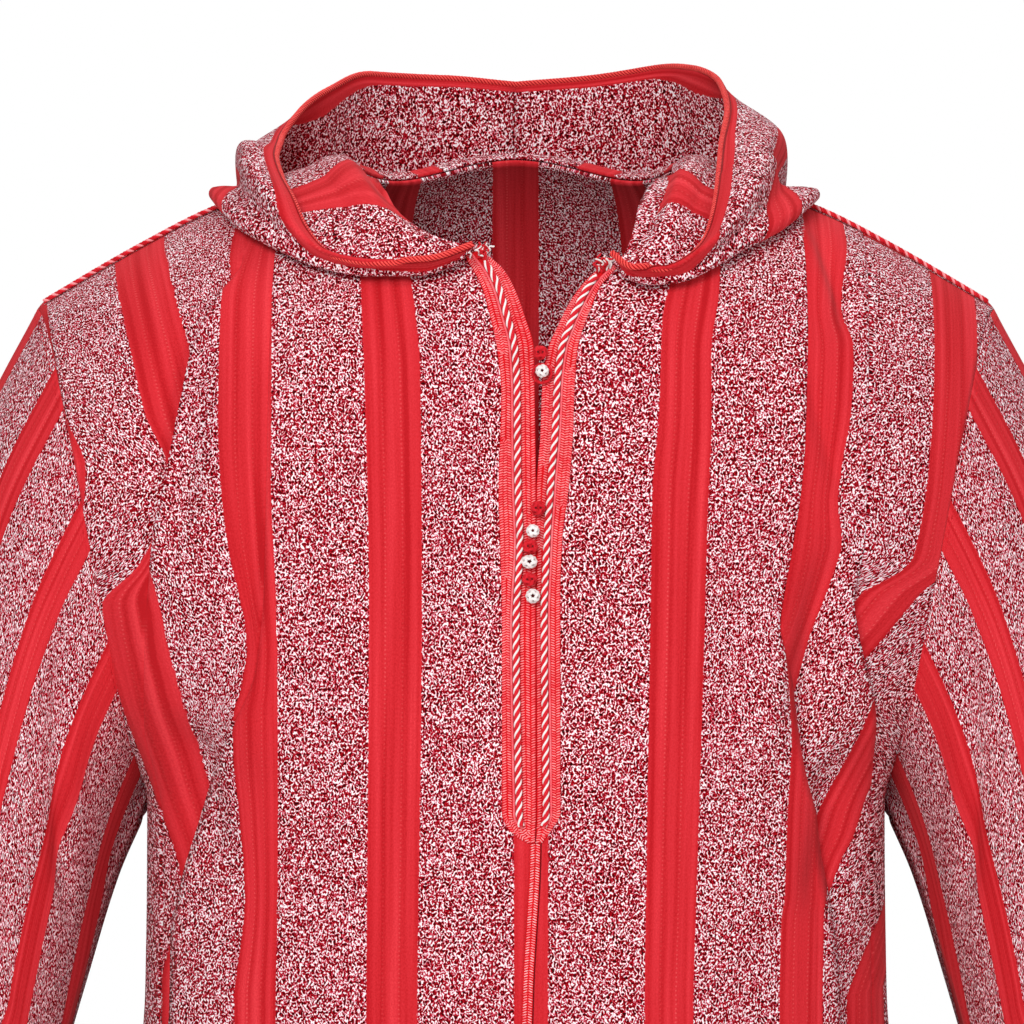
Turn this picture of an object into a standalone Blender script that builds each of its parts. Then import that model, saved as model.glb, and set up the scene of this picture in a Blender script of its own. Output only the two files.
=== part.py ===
# Hooded striped djellaba, worn with the hood down. Metres, +Z up, the front faces -Y.
# The origin is midway between the two neck points of the shoulders. Left and right are the wearer's,
# so the right half is at -X. A drop is a distance below the origin.
from bisect import bisect_right
from math import acos, cos, pi, sin, sqrt

import bmesh
import bpy
import numpy as np
from mathutils import Vector

MM = 0.001
WALL = 2.0 * MM            # heavy woven cloth
SEAM = 0.15 * MM           # half of the gap kept between two joined pieces
GAP = 0.3 * MM             # between a piece and what it lies on
BRAID = 1.2 * MM           # thickness of the flat braid
CORD = 1.65 * MM           # radius of the twisted cord
EDGE_CORD = 1.7 * MM       # radius of the braid along the hood's rim
EDGE_GAP = 0.6 * MM        # between that braid and the rim, which bends
SEAM_CORD = 1.3 * MM       # radius of the corded shoulder seam
SEAM_CORD_START = 0.100    # where that cord comes out from under the hood
SEAM_CORD_END = 4.0 * MM   # and how far it stops short of the armhole
SEAM_CORD_POINTS = 12
CENTRE_HALF = 2.4 * MM     # half width of the braid on the centre front seam
CENTRE_ROWS = 28

HEM = 1.38                 # drop of the hem
NECK_HALF = 0.078          # half width of the neck hole at the shoulders
NAPE_RISE = 0.026          # the back stands this much higher at the nape
NAPE_GIRTH = 0.068         # from the shoulder ridge to the back neckline
TIP = 0.235                # dropped shoulder, from the centre to the armhole
UNDERARM = 0.31            # drop of the underarm
CAP_FALL = 0.090           # how far the cloth falls while it turns over the shoulder
CAP_GIRTH = 0.165          # the length of that turn, on the cloth
RIDGE_Y = 0.005            # depth of the shoulder ridge and of the side seams
SEAM_GIRTH = -0.030        # the shoulder seam lies this far in front of the ridge
ROUND = 2.4                # superellipse power of the body's sections
HOOD_LIFT = 5.6 * MM       # the hood's under layer lies this far off the body's cloth
BACK_LIFT = 2.5 * MM       # and this much more down the back
HOOD_ROLL = 3.0 * MM       # and this much more where it rolls over beside the neckline
ROLL_LENGTH = 25.0 * MM
HOOD_FOLD = 4.0 * MM       # radius of the hood's lower fold
FRONT_FOLD = 2.4 * MM      # the same beside the V, where the hood is narrow
BULGE_PEAK = 1.73          # scales the bulge's curve, which is flat at the rim, to a height of one
LIFT_LENGTH = 8.0 * MM     # the hood's under layer leaves the neckline over this length
HOOD_CROWDING = 1.4        # power that draws the hood's points towards the shoulder and the neckline
BALL = 3.2 * MM            # button of wound white thread
KNOT = 2.7 * MM            # knot of red thread

RED = (0.72, 0.02, 0.03)
HEATHER = (0.62, 0.16, 0.22)
BRAID_RED = (0.90, 0.09, 0.10)
WHITE = (0.85, 0.82, 0.76)

# x, height of the shoulder ridge
SHOULDER = [(0.0, 0.006), (0.078, 0.004), (0.120, -0.005), (0.149, -0.0155), (0.180, -0.031), (0.240, -0.065)]

# drop, half width, front depth, back depth
BODY = [
    (-0.06, 0.262, 0.100, 0.106),
    (0.06, 0.262, 0.119, 0.120),
    (0.12, 0.258, 0.125, 0.126),
    (0.17, 0.246, 0.129, 0.127),
    (0.24, 0.214, 0.133, 0.123),
    (0.31, 0.182, 0.136, 0.118),
    (0.40, 0.183, 0.139, 0.118),
    (0.50, 0.195, 0.142, 0.124),
    (0.70, 0.220, 0.148, 0.136),
    (1.00, 0.255, 0.160, 0.150),
    (1.38, 0.290, 0.176, 0.168),
]

# drop, x of the centre front seam
CENTRE = [(0.0, 0.0094), (0.156, 0.0094), (0.32, 0.0090), (0.39, 0.0055), (0.55, 0.002), (1.38, 0.0)]

# drop, inner edge, outer edge, both from the centre towards that side
PLACKET = {
    "right": [
        (0.0415, 0.0180, 0.0250),
        (0.0460, 0.0118, 0.0235),
        (0.0520, 0.0056, 0.0200),
        (0.0600, 0.0009, 0.0160),
        (0.0724, -0.0038, 0.0125),
        (0.0893, -0.0085, 0.0088),
        (0.1100, -0.0089, 0.0069),
        (0.1560, -0.0094, 0.0082),
        (0.1780, -0.0094, 0.0075),
        (0.2200, -0.0094, 0.0066),
        (0.3060, -0.0094, 0.0066),
        (0.3140, -0.0092, 0.0032),
        (0.3200, -0.0090, -0.0055),
    ],
    "left": [
        (0.0480, 0.0447, 0.0500),
        (0.0536, 0.0362, 0.0448),
        (0.0600, 0.0301, 0.0394),
        (0.0686, 0.0244, 0.0357),
        (0.0785, 0.0193, 0.0318),
        (0.0884, 0.0150, 0.0290),
        (0.1050, 0.0122, 0.0276),
        (0.1300, 0.0112, 0.0266),
        (0.1560, 0.0094, 0.0245),
        (0.1780, 0.0094, 0.0216),
        (0.2060, 0.0094, 0.0207),
        (0.3060, 0.0094, 0.0207),
        (0.3140, 0.0094, 0.0165),
        (0.3200, 0.0092, 0.0120),
    ],
}

V_FOOT = 0.107             # drop where the V's curve ends in the slit
V_ROWS = 9                 # rows of the braid and of its cord above it, and below it
SLIT_ROWS = 14
BRAID_TOP = 1.5 * MM       # the braid and its cord start this far under the V's corner
CORD_TOP = 8.0 * MM
CORD_FOOT = 0.312

# drop, place of the white cord across the braid, 0 at the inner edge
CORD_PLACE = {
    "right": [(0.0, 0.47), (0.11, 0.53), (0.156, 0.48), (0.178, 0.45), (0.22, 0.59), (0.306, 0.50)],
    "left": [(0.117, 0.46), (0.170, 0.42), (0.192, 0.38), (0.213, 0.32), (0.277, 0.38), (0.32, 0.42)],
}

# along, outer x, outer drop, inner x, inner drop, half depth, y of the middle
SLEEVE = [
    (0.00, 0.235, 0.062, 0.182, 0.310, 0.070, 0.004),
    (0.12, 0.262, 0.115, 0.197, 0.345, 0.070, 0.003),
    (0.30, 0.290, 0.205, 0.212, 0.395, 0.066, -0.001),
    (0.50, 0.315, 0.315, 0.229, 0.455, 0.060, -0.006),
    (0.70, 0.336, 0.425, 0.246, 0.520, 0.054, -0.012),
    (0.85, 0.350, 0.515, 0.258, 0.580, 0.048, -0.016),
    (1.00, 0.360, 0.600, 0.268, 0.640, 0.042, -0.020),
]

# how an armhole's edge faces: out and up at its top, out at its sides
ARMHOLE_TOP_OUT = 0.75
ARMHOLE_TOP_UP = 0.66
ARMHOLE_SIDE_OUT = 0.35

# The hood, down: for stations round the neck from the V top (-1) over the shoulder (0) to the nape (1),
# x and drop of its lower fold on the body, x, y and height of its rim,
# and its outer layer's bulge out and up, all in mm
HOOD = {
    "right": [
        (-1.00, 28, 52, 20.5, -119, -40, 1, 0),
        (-0.85, 46, 57, 42, -124, -47, 1, 0),
        (-0.65, 70, 57, 66, -123, -48, 2, 1),
        (-0.45, 93, 53, 87.5, -115, -44, 3, 2),
        (-0.30, 110, 46, 100, -100, -31, 6, 4),
        (-0.15, 130, 35, 107, -84, -16, 7, 8),
        (0.00, 151, 17, 114, -58, -3, 7, 12),
        (0.15, 150, 35, 118, -28, 9.5, 8, 12),
        (0.35, 140, 82, 117, 6, 20, 14, 12),
        (0.50, 125, 130, 109, 38, 36, 24, 10),
        (0.65, 102, 180, 94, 68, 50, 34, 7),
        (0.80, 70, 228, 73, 98, 60, 42, 4),
        (0.90, 36, 265, 40, 118, 60, 45, 2),
        (1.00, 0, 285, 0, 124, 57, 46, 2),
    ],
    "left": [
        (-1.00, 51, 58, 45, -120, -44, 1, 0),
        (-0.85, 62, 61, 56, -126, -51, 1, 0),
        (-0.65, 76, 60, 69, -123, -51, 2, 1),
        (-0.45, 91, 54, 84, -117, -43.5, 4, 3),
        (-0.30, 105, 46, 91, -104, -34, 8, 5),
        (-0.15, 124, 36, 95.5, -89, -19, 9, 8),
        (0.00, 149, 18, 98.5, -63, -3, 9, 12),
        (0.15, 148, 35, 101.5, -28, 15, 10, 12),
        (0.35, 138, 82, 106, 14, 37, 15, 10),
        (0.50, 123, 130, 103, 48, 52, 24, 8),
        (0.65, 100, 180, 91, 76, 61, 33, 6),
        (0.80, 68, 228, 75, 102, 64, 40, 4),
        (0.90, 35, 265, 40, 119, 60, 44, 2),
        (1.00, 0, 285, 0, 124, 57, 46, 2),
    ],
}

# where round the neck, on the same scale, each of these comes in
V_SEAT = (-0.6, -0.9)      # the placket's braid under the hood's end
BACK_PART = (0.1, 0.4)     # the further lift down the back
ROLL_PART = (-0.9, -0.4)   # the roll beside the neckline
FOLD_PART = (-0.6, -0.1)   # the full radius of the lower fold

# panel, x and drop at the upper end, x and drop at the lower end, half width, height; a trough is below zero
FOLDS = [
    ("front", -0.150, 0.070, -0.166, 0.200, 0.011, -0.011),
    ("front", -0.160, 0.255, -0.143, 0.345, 0.011, -0.011),
    ("front", -0.128, 0.190, -0.122, 0.300, 0.014, 0.006),
    ("front", 0.152, 0.170, 0.130, 0.290, 0.011, -0.010),
    ("front", 0.158, 0.270, 0.142, 0.370, 0.010, -0.010),
    ("front", 0.122, 0.200, 0.118, 0.300, 0.014, 0.006),
    ("front", -0.105, 0.480, -0.150, 1.700, 0.035, 0.016),
    ("front", -0.160, 0.420, -0.220, 1.700, 0.022, -0.014),
    ("front", -0.040, 0.700, -0.055, 1.800, 0.030, -0.014),
    ("front", 0.060, 0.600, 0.085, 1.800, 0.032, 0.015),
    ("front", 0.120, 0.420, 0.160, 1.700, 0.026, -0.014),
    ("front", 0.165, 0.560, 0.235, 1.700, 0.024, 0.014),
    ("back", -0.150, 0.110, -0.158, 0.330, 0.013, -0.010),
    ("back", 0.148, 0.120, 0.160, 0.340, 0.013, -0.010),
    ("back", -0.155, 0.420, -0.215, 1.700, 0.024, 0.014),
    ("back", -0.095, 0.450, -0.130, 1.700, 0.028, -0.016),
    ("back", -0.030, 0.520, -0.040, 1.800, 0.034, 0.016),
    ("back", 0.045, 0.480, 0.060, 1.800, 0.028, -0.014),
    ("back", 0.110, 0.430, 0.150, 1.700, 0.030, 0.016),
    ("back", 0.165, 0.500, 0.235, 1.700, 0.022, -0.012),
]
FOLD_TAPER = 0.35          # share of a fold's length over which each end dies away
SEAM_FADE = 0.10           # share of a panel's width over which folds die away at its seams

NECK_COLUMNS = 4
SHOULDER_COLUMNS = 8
YOKE_ROWS = 12
YOKE_CROWDING = 1.15       # power that draws the rows towards the top
SKIRT_ROWS = 14
SLEEVE_RINGS = 12
SLEEVE_CROWDING = 1.1      # power that draws the rings towards the armhole
ARMHOLE_SHARE = 0.6        # share of the sleeve over which the armhole's outline dies away
HOOD_STATIONS = 20
HOOD_UNDER = 9
HOOD_TURN = 2
HOOD_OUTER = 5

# name, x, drop, radius, lift above the panel's middle
BALLS = [
    ("button_1", 0.0122, 0.0998, BALL, 6.0 * MM),
    ("button_2", 0.0078, 0.1746, BALL, 6.0 * MM),
    ("button_3", 0.0062, 0.1890, BALL, 6.0 * MM),
    ("button_4", 0.0078, 0.2050, BALL, 6.0 * MM),
]
KNOTS = [
    ("knot_1", 0.0114, 0.0910, 3.1 * MM, 4.4 * MM),
    ("knot_2", 0.0103, 0.1640, KNOT, 5.5 * MM),
    ("knot_3", 0.0066, 0.1812, KNOT, 5.5 * MM),
    ("knot_4", 0.0063, 0.1970, KNOT, 5.5 * MM),
]
LOOP_PLACE = (0.0122, 0.1008)
LOOP_RADIUS = 4.3 * MM
LOOP_THREAD = 0.8 * MM     # radius of its thread
LOOP_STEPS = 14
LOOP_SIDES = 5


def clear_scene():
    for thing in list(bpy.data.objects):
        bpy.data.objects.remove(thing)


def smooth(rows, at, column):
    # a monotone cubic through one column of a table, keyed by the table's first column
    keys = [row[0] for row in rows]
    values = [row[column] for row in rows]
    at = min(max(at, keys[0]), keys[-1])
    i = min(bisect_right(keys, at), len(keys) - 1) - 1
    steps = [(values[k + 1] - values[k]) / (keys[k + 1] - keys[k]) for k in range(len(keys) - 1)]

    def slope(k):
        if k == 0 or k == len(keys) - 1:
            return steps[min(k, len(steps) - 1)]
        before, after = steps[k - 1], steps[k]
        return 0.0 if before * after <= 0 else 2 * before * after / (before + after)

    span = keys[i + 1] - keys[i]
    t = (at - keys[i]) / span
    rise = values[i + 1] - values[i]
    bend = slope(i) * span - rise
    lift = rise - slope(i + 1) * span
    return values[i] + rise * t + t * (1 - t) * (bend * (1 - t) + lift * t)


def mix(a, b, t):
    return a + (b - a) * t


def ease(t):
    t = min(max(t, 0.0), 1.0)
    return t * t * (3 - 2 * t)


def sign_of(t):
    return 1.0 if t > 0 else -1.0


def ramp(t, ends):
    # from 0 at the first of two values of t to 1 at the second
    return ease((t - ends[0]) / (ends[1] - ends[0]))


def ridge(x, back):
    # height of the shoulder ridge, which the back lifts to the nape
    height = smooth(SHOULDER, abs(x), 1)
    if back and abs(x) < NECK_HALF:
        height += NAPE_RISE * (1 - (x / NECK_HALF) ** 2) ** 2
    return height


def girth_at(x, drop, back=False):
    # distance on the cloth from the ridge down to a drop
    fall = max(ridge(x, back) + drop, 0.0)
    if fall < CAP_FALL:
        return CAP_GIRTH * acos(1 - fall / CAP_FALL) / (pi / 2)
    return CAP_GIRTH + fall - CAP_FALL


def fold_height(panel, x, drop):
    total = 0.0
    for name, x1, drop1, x2, drop2, half, height in FOLDS:
        along = (drop - drop1) / (drop2 - drop1)
        if name != panel or along <= 0 or along >= 1:
            continue
        ends = ease(along / FOLD_TAPER) * ease((1 - along) / FOLD_TAPER)
        total += height * ends * np.exp(-((x - mix(x1, x2, along)) / half) ** 2)
    return total


def body(side, x, girth):
    # a point of the body's cloth: x towards the side, girth from the ridge, below zero to the front
    back = girth > 0
    turn = min(abs(girth) / CAP_GIRTH, 1.0) * pi / 2
    height = ridge(x, back) - CAP_FALL * (1 - cos(turn)) - max(abs(girth) - CAP_GIRTH, 0.0)
    across = min(abs(x) / smooth(BODY, -height, 1), 1.0)
    depth = smooth(BODY, -height, 3 if back else 2) * (1 - across ** ROUND) ** (1 / ROUND) * sin(turn)
    return np.array([side * x, RIDGE_Y + (depth if back else -depth), height])


def unit(v):
    return v / np.linalg.norm(v)


def body_normal(side, x, girth):
    step = 0.5 * MM
    across = body(side, x + step, girth) - body(side, x - step, girth)
    down = body(side, x, girth + step) - body(side, x, girth - step)
    return unit(np.cross(across, down) * side)


def neck(name, t):
    # the neckline, from the V top (-1) over the shoulder ridge (0) to the nape (1)
    drop, inner, _ = PLACKET[name][0]
    angle = abs(t) * pi / 2
    if t < 0:
        return inner + (NECK_HALF - inner) * cos(angle), -girth_at(inner, drop) * sin(angle)
    return NECK_HALF * cos(angle), NAPE_GIRTH * sin(angle)


def seam_start(name):
    # the neckline's parameter where the shoulder seam begins
    drop, inner, _ = PLACKET[name][0]
    return -np.arcsin(-SEAM_GIRTH / girth_at(inner, drop)) / (pi / 2)


def inner_edge(name, drop):
    # the front edge of a front panel: the V and the slit, then the centre seam
    side = -1 if name == "right" else 1
    if drop < PLACKET[name][-1][0]:
        return smooth(PLACKET[name], drop, 1) + SEAM
    return side * smooth(CENTRE, drop, 1) + SEAM


def grid_normals(grid, outward):
    down = np.gradient(grid, axis=0)
    across = np.gradient(grid, axis=1)
    normals = np.cross(across, down)
    normals /= np.linalg.norm(normals, axis=2, keepdims=True)
    middle = normals[grid.shape[0] // 2, grid.shape[1] // 2]
    return normals if np.dot(middle, outward) > 0 else -normals


def armhole_normal(side, cosine, sine, back):
    out = ARMHOLE_TOP_OUT * max(cosine, 0.0) + ARMHOLE_SIDE_OUT * sine
    up = cosine * (ARMHOLE_TOP_UP if cosine > 0 else 1.0)
    return unit(np.array([side * out, sine if back else -sine, up]))


def sleeve_ring(side, along):
    outer = np.array([side * smooth(SLEEVE, along, 1), 0.0, -smooth(SLEEVE, along, 2)])
    inner = np.array([side * smooth(SLEEVE, along, 3), 0.0, -smooth(SLEEVE, along, 4)])
    middle = (outer + inner) / 2 + np.array([0.0, smooth(SLEEVE, along, 6), 0.0])
    return middle, (outer - inner) / 2, smooth(SLEEVE, along, 5)


def armhole_angle(side, point):
    middle, half, _ = sleeve_ring(side, 0.0)
    cosine = min(max(np.dot(point - middle, half) / np.dot(half, half), -1.0), 1.0)
    return cosine, sqrt(max(1 - cosine * cosine, 0.0))


def yoke_rows():
    return [(row / YOKE_ROWS) ** YOKE_CROWDING for row in range(YOKE_ROWS + 1)]


def skirt_drops():
    return [mix(UNDERARM, HEM, row / SKIRT_ROWS) for row in range(1, SKIRT_ROWS + 1)]


def half_panel(name, panel):
    # one half of the front or of the back, as rows of points from its top edge to the hem
    side = -1 if name == "right" else 1
    back = panel == "back"
    sign = 1 if back else -1
    start = seam_start(name)
    seam = SEAM_GIRTH + sign * SEAM
    ends = np.linspace(1.0 if back else -1.0, start, NECK_COLUMNS, endpoint=False)
    top = [neck(name, t) for t in ends]
    seam_x = neck(name, start)[0]
    top += [(x, seam) for x in np.linspace(seam_x, TIP, SHOULDER_COLUMNS + 1)]
    columns = len(top)
    first_x = top[0][0]
    shares_top = [(x - first_x) / (TIP - first_x) for x, _ in top]
    shares_low = [sin(pi / 2 * k / (columns - 1)) ** (2 / ROUND) for k in range(columns)]
    rows = []
    for row in yoke_rows():
        inner_girth = mix(top[0][1], sign * girth_at(0.0, UNDERARM, back), row)
        inner = 0.0 if back else inner_edge(name, -body(side, 0.0, inner_girth)[2])
        outer = mix(TIP, smooth(BODY, UNDERARM, 1), row)
        line = []
        for (_, girth), high, low in zip(top, shares_top, shares_low):
            x = mix(inner, outer, mix(high, low, ease(row)))
            low_girth = sign * girth_at(x, UNDERARM, back)
            line.append(body(side, x, mix(girth, low_girth, row)))
        rows.append(line)
    for drop in skirt_drops():
        width = smooth(BODY, drop, 1)
        depth = smooth(BODY, drop, 3 if back else 2)
        inner = 0.0 if back else inner_edge(name, drop)
        line = []
        for share in shares_low:
            x = mix(inner, width, share)
            curve = (1 - min(abs(x) / width, 1.0) ** ROUND) ** (1 / ROUND)
            line.append(np.array([side * x, RIDGE_Y + sign * depth * curve, -drop]))
        rows.append(line)
    grid = np.array(rows)
    grid[YOKE_ROWS:, -1, 1] = RIDGE_Y + sign * SEAM
    normals = grid_normals(grid, (0, sign, 0))
    shares = np.linspace(0, 1, columns)
    fade = np.clip((1 - shares) / SEAM_FADE, 0.0, 1.0)
    if not back:
        fade *= np.clip((shares - SEAM_FADE) / SEAM_FADE, 0.0, 1.0)
    for j in range(1, grid.shape[0]):
        for i in range(columns):
            x, _, z = grid[j, i]
            grid[j, i] = grid[j, i] + normals[j, i] * fold_height(panel, x, -z) * fade[i]
    normals = grid_normals(grid, (0, sign, 0))
    for j in range(grid.shape[0]):
        if back or j > 2:
            normals[j, 0] = unit(normals[j, 0] * np.array([0.0, 1.0, 1.0]))
        if j <= YOKE_ROWS:
            cosine, sine = armhole_angle(side, grid[j, -1])
            normals[j, -1] = armhole_normal(side, cosine, sine, grid[j, -1, 1] > RIDGE_Y)
        else:
            normals[j, -1] = unit(normals[j, -1] * np.array([1.0, 0.0, 1.0]))
    return grid, normals


def finish(name, mesh, colour, roughness):
    material = bpy.data.materials.new(name + "_cloth")
    material.use_nodes = True
    shader = material.node_tree.nodes["Principled BSDF"]
    shader.inputs["Base Color"].default_value = (*colour, 1.0)
    shader.inputs["Roughness"].default_value = roughness
    shader.inputs["Metallic"].default_value = 0.0
    mesh.materials.append(material)
    mesh.shade_smooth()
    piece = bpy.data.objects.new(name, mesh)
    bpy.context.scene.collection.objects.link(piece)
    return piece


def wall(name, grid, normals, thickness, colour, roughness=0.9, tube=False):
    # a closed wall round a grid of points; a tube joins its last column to its first
    rows, columns = grid.shape[:2]
    bm = bmesh.new()
    layers = []
    for sign in (0.5, -0.5):
        layers.append([[bm.verts.new(p) for p in line] for line in grid + normals * thickness * sign])
    outer, inner = layers
    spans = range(columns if tube else columns - 1)
    for j in range(rows - 1):
        for i in spans:
            k = (i + 1) % columns
            bm.faces.new((outer[j][i], outer[j][k], outer[j + 1][k], outer[j + 1][i]))
            bm.faces.new((inner[j][i], inner[j + 1][i], inner[j + 1][k], inner[j][k]))
    for j in (0, rows - 1):
        for i in spans:
            k = (i + 1) % columns
            bm.faces.new((outer[j][i], inner[j][i], inner[j][k], outer[j][k]))
    if not tube:
        for i in (0, columns - 1):
            for j in range(rows - 1):
                bm.faces.new((outer[j][i], outer[j + 1][i], inner[j + 1][i], inner[j][i]))
    bmesh.ops.recalc_face_normals(bm, faces=bm.faces)
    mesh = bpy.data.meshes.new(name)
    bm.to_mesh(mesh)
    bm.free()
    return finish(name, mesh, colour, roughness)


def cord(name, path, radius, colour):
    curve = bpy.data.curves.new(name, "CURVE")
    curve.dimensions = "3D"
    curve.bevel_depth = radius
    curve.bevel_resolution = 1
    curve.use_fill_caps = True
    spline = curve.splines.new("POLY")
    spline.points.add(len(path) - 1)
    for point, place in zip(spline.points, path):
        point.co = (*place, 1.0)
    material = bpy.data.materials.new(name + "_thread")
    material.use_nodes = True
    shader = material.node_tree.nodes["Principled BSDF"]
    shader.inputs["Base Color"].default_value = (*colour, 1.0)
    shader.inputs["Roughness"].default_value = 0.7
    shader.inputs["Metallic"].default_value = 0.0
    curve.materials.append(material)
    piece = bpy.data.objects.new(name, curve)
    bpy.context.scene.collection.objects.link(piece)
    return piece


def front_panels():
    edges = {}
    for name in ("right", "left"):
        grid, normals = half_panel(name, "front")
        wall("front_" + name, grid, normals, WALL, HEATHER)
        edges[name] = grid[:YOKE_ROWS + 1, -1]
    return edges


def back_panel():
    right, right_normals = half_panel("right", "back")
    left, left_normals = half_panel("left", "back")
    grid = np.concatenate([right[:, ::-1], left[:, 1:]], axis=1)
    normals = np.concatenate([right_normals[:, ::-1], left_normals[:, 1:]], axis=1)
    wall("back", grid, normals, WALL, HEATHER)
    return {"right": right[:YOKE_ROWS + 1, -1], "left": left[:YOKE_ROWS + 1, -1]}


def sleeve(name, front_edge, back_edge):
    side = -1 if name == "right" else 1
    loop = np.concatenate([front_edge, back_edge[-2:0:-1]])
    middle, half, depth = sleeve_ring(side, 0.0)
    angles = []
    for point in loop:
        cosine, sine = armhole_angle(side, point)
        angles.append((cosine, sine if point[1] > RIDGE_Y else -sine))
    angles = np.array(angles)
    rings = []
    first = middle + np.outer(angles[:, 0], half) + np.outer(angles[:, 1], [0.0, depth, 0.0])
    for ring in range(SLEEVE_RINGS + 1):
        along = (ring / SLEEVE_RINGS) ** SLEEVE_CROWDING
        middle, half, depth = sleeve_ring(side, along)
        places = middle + np.outer(angles[:, 0], half) + np.outer(angles[:, 1], [0.0, depth, 0.0])
        rings.append(places + (loop - first) * (1 - min(along / ARMHOLE_SHARE, 1.0)) ** 2)
    grid = np.array(rings)
    normals = sleeve_normals(grid)
    seam_normals = []
    for (cosine, sine), point in zip(angles, loop):
        seam_normals.append(armhole_normal(side, cosine, abs(sine), point[1] > RIDGE_Y))
    normals[0] = seam_normals
    for k in range(len(loop)):
        ahead = grid[1, k] - grid[0, k]
        ahead = ahead - normals[0, k] * np.dot(ahead, normals[0, k])
        grid[0, k] = grid[0, k] + unit(ahead) * 2 * SEAM
    wall("sleeve_" + name, grid, normals, WALL, HEATHER, tube=True)


def sleeve_normals(grid):
    around = np.roll(grid, -1, axis=1) - np.roll(grid, 1, axis=1)
    down = np.gradient(grid, axis=0)
    normals = np.cross(around, down)
    normals /= np.linalg.norm(normals, axis=2, keepdims=True)
    centre = grid.mean(axis=1, keepdims=True)
    inward = np.sum(normals * (grid - centre), axis=2).mean() < 0
    return -normals if inward else normals


def hood_half(name):
    # from the neckline out along the body, round the lower fold and back up to the rim
    side = -1 if name == "right" else 1
    table = HOOD[name]
    lines = []
    for station in range(HOOD_STATIONS + 1):
        spread = -1 + 2 * station / HOOD_STATIONS
        t = abs(spread) ** HOOD_CROWDING * sign_of(spread)
        start_x, start_girth = neck(name, t)
        fold_x = smooth(table, t, 1) * MM
        fold_girth = girth_at(fold_x, smooth(table, t, 2) * MM, t > 0) * sign_of(t)
        rim = np.array([side * smooth(table, t, 3), smooth(table, t, 4), smooth(table, t, 5)]) * MM
        seat = WALL + GAP + (BRAID + GAP) * ramp(t, V_SEAT)
        line = []
        for k in range(HOOD_UNDER + 1):
            share = (k / HOOD_UNDER) ** HOOD_CROWDING
            x = mix(start_x, fold_x, share)
            girth = mix(start_girth, fold_girth, share)
            place = body(side, x, girth)
            length = np.linalg.norm(place - body(side, start_x, start_girth))
            lift = mix(seat, HOOD_LIFT + BACK_LIFT * ramp(t, BACK_PART), ease(length / LIFT_LENGTH))
            lift += HOOD_ROLL * sin(pi * min(length / ROLL_LENGTH, 1.0)) * ramp(t, ROLL_PART)
            line.append(place + body_normal(side, x, girth) * lift)
        normal = body_normal(side, fold_x, fold_girth)
        out = line[-1] - line[-2]
        out = unit(out - normal * np.dot(out, normal))
        radius = mix(FRONT_FOLD, HOOD_FOLD, ramp(t, FOLD_PART))
        line[-1] = line[-1] - out * radius
        base = line[-1]
        for k in range(1, HOOD_TURN + 1):
            angle = pi * k / (HOOD_TURN + 1)
            line.append(base + out * radius * sin(angle) + normal * radius * (1 - cos(angle)))
        high = base + normal * 2 * radius
        radial = (high + rim) / 2 * np.array([1.0, 1.0, 0.0])
        bulge = unit(radial) * smooth(table, t, 6) * MM + np.array([0.0, 0.0, smooth(table, t, 7) * MM])
        for k in range(HOOD_OUTER + 1):
            share = k / HOOD_OUTER
            line.append(mix(high, rim, share) + bulge * sin(pi * share) * (1 - share) * BULGE_PEAK)
        lines.append(line)
    grid = np.array(lines)
    grid[:, :, 0] += side * SEAM
    normals = grid_normals(grid, (side, 0, 0))
    middle = HOOD_STATIONS // 2
    if normals[middle, 2, 2] > 0:
        normals = -normals
    normals[-1] *= np.array([0.0, 1.0, 1.0])
    normals[-1] /= np.linalg.norm(normals[-1], axis=1, keepdims=True)
    wall("hood_" + name, grid, normals, WALL, HEATHER)
    ahead = grid[:, -1] - grid[:, -2]
    along = np.gradient(grid[:, -1], axis=0)
    along /= np.linalg.norm(along, axis=1, keepdims=True)
    ahead -= along * np.sum(ahead * along, axis=1, keepdims=True)
    ahead /= np.linalg.norm(ahead, axis=1, keepdims=True)
    return grid[:, -1] + ahead * (EDGE_GAP + EDGE_CORD)


def on_front(side, x, drop, lift):
    girth = -girth_at(x, drop)
    return body(side, x, girth) + body_normal(side, x, girth) * lift


def placket_drops(top, foot):
    upper = np.linspace(top, V_FOOT, V_ROWS, endpoint=False)
    return np.concatenate([upper, np.linspace(V_FOOT, foot, SLIT_ROWS)])


def placket_braid(name):
    side = -1 if name == "right" else 1
    table = PLACKET[name]
    lift = WALL / 2 + GAP + BRAID / 2
    rows = []
    normals = []
    for drop in placket_drops(table[0][0] + BRAID_TOP, table[-1][0]):
        inner, outer = smooth(table, drop, 1) + SEAM, smooth(table, drop, 2)
        places = [mix(inner, outer, k / 2) for k in range(3)]
        rows.append([on_front(side, x, drop, lift) for x in places])
        normals.append([body_normal(side, x, -girth_at(x, drop)) for x in places])
    wall("placket_braid_" + name, np.array(rows), np.array(normals), BRAID, BRAID_RED, 0.7)


def placket_cord(name):
    side = -1 if name == "right" else 1
    table = PLACKET[name]
    lift = WALL / 2 + GAP + BRAID + GAP + CORD
    path = []
    for drop in placket_drops(table[0][0] + CORD_TOP, CORD_FOOT):
        share = smooth(CORD_PLACE[name], drop, 1)
        x = mix(smooth(table, drop, 1), smooth(table, drop, 2), share)
        path.append(on_front(side, x, drop, lift))
    cord("placket_cord_" + name, path, CORD, WHITE)


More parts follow.
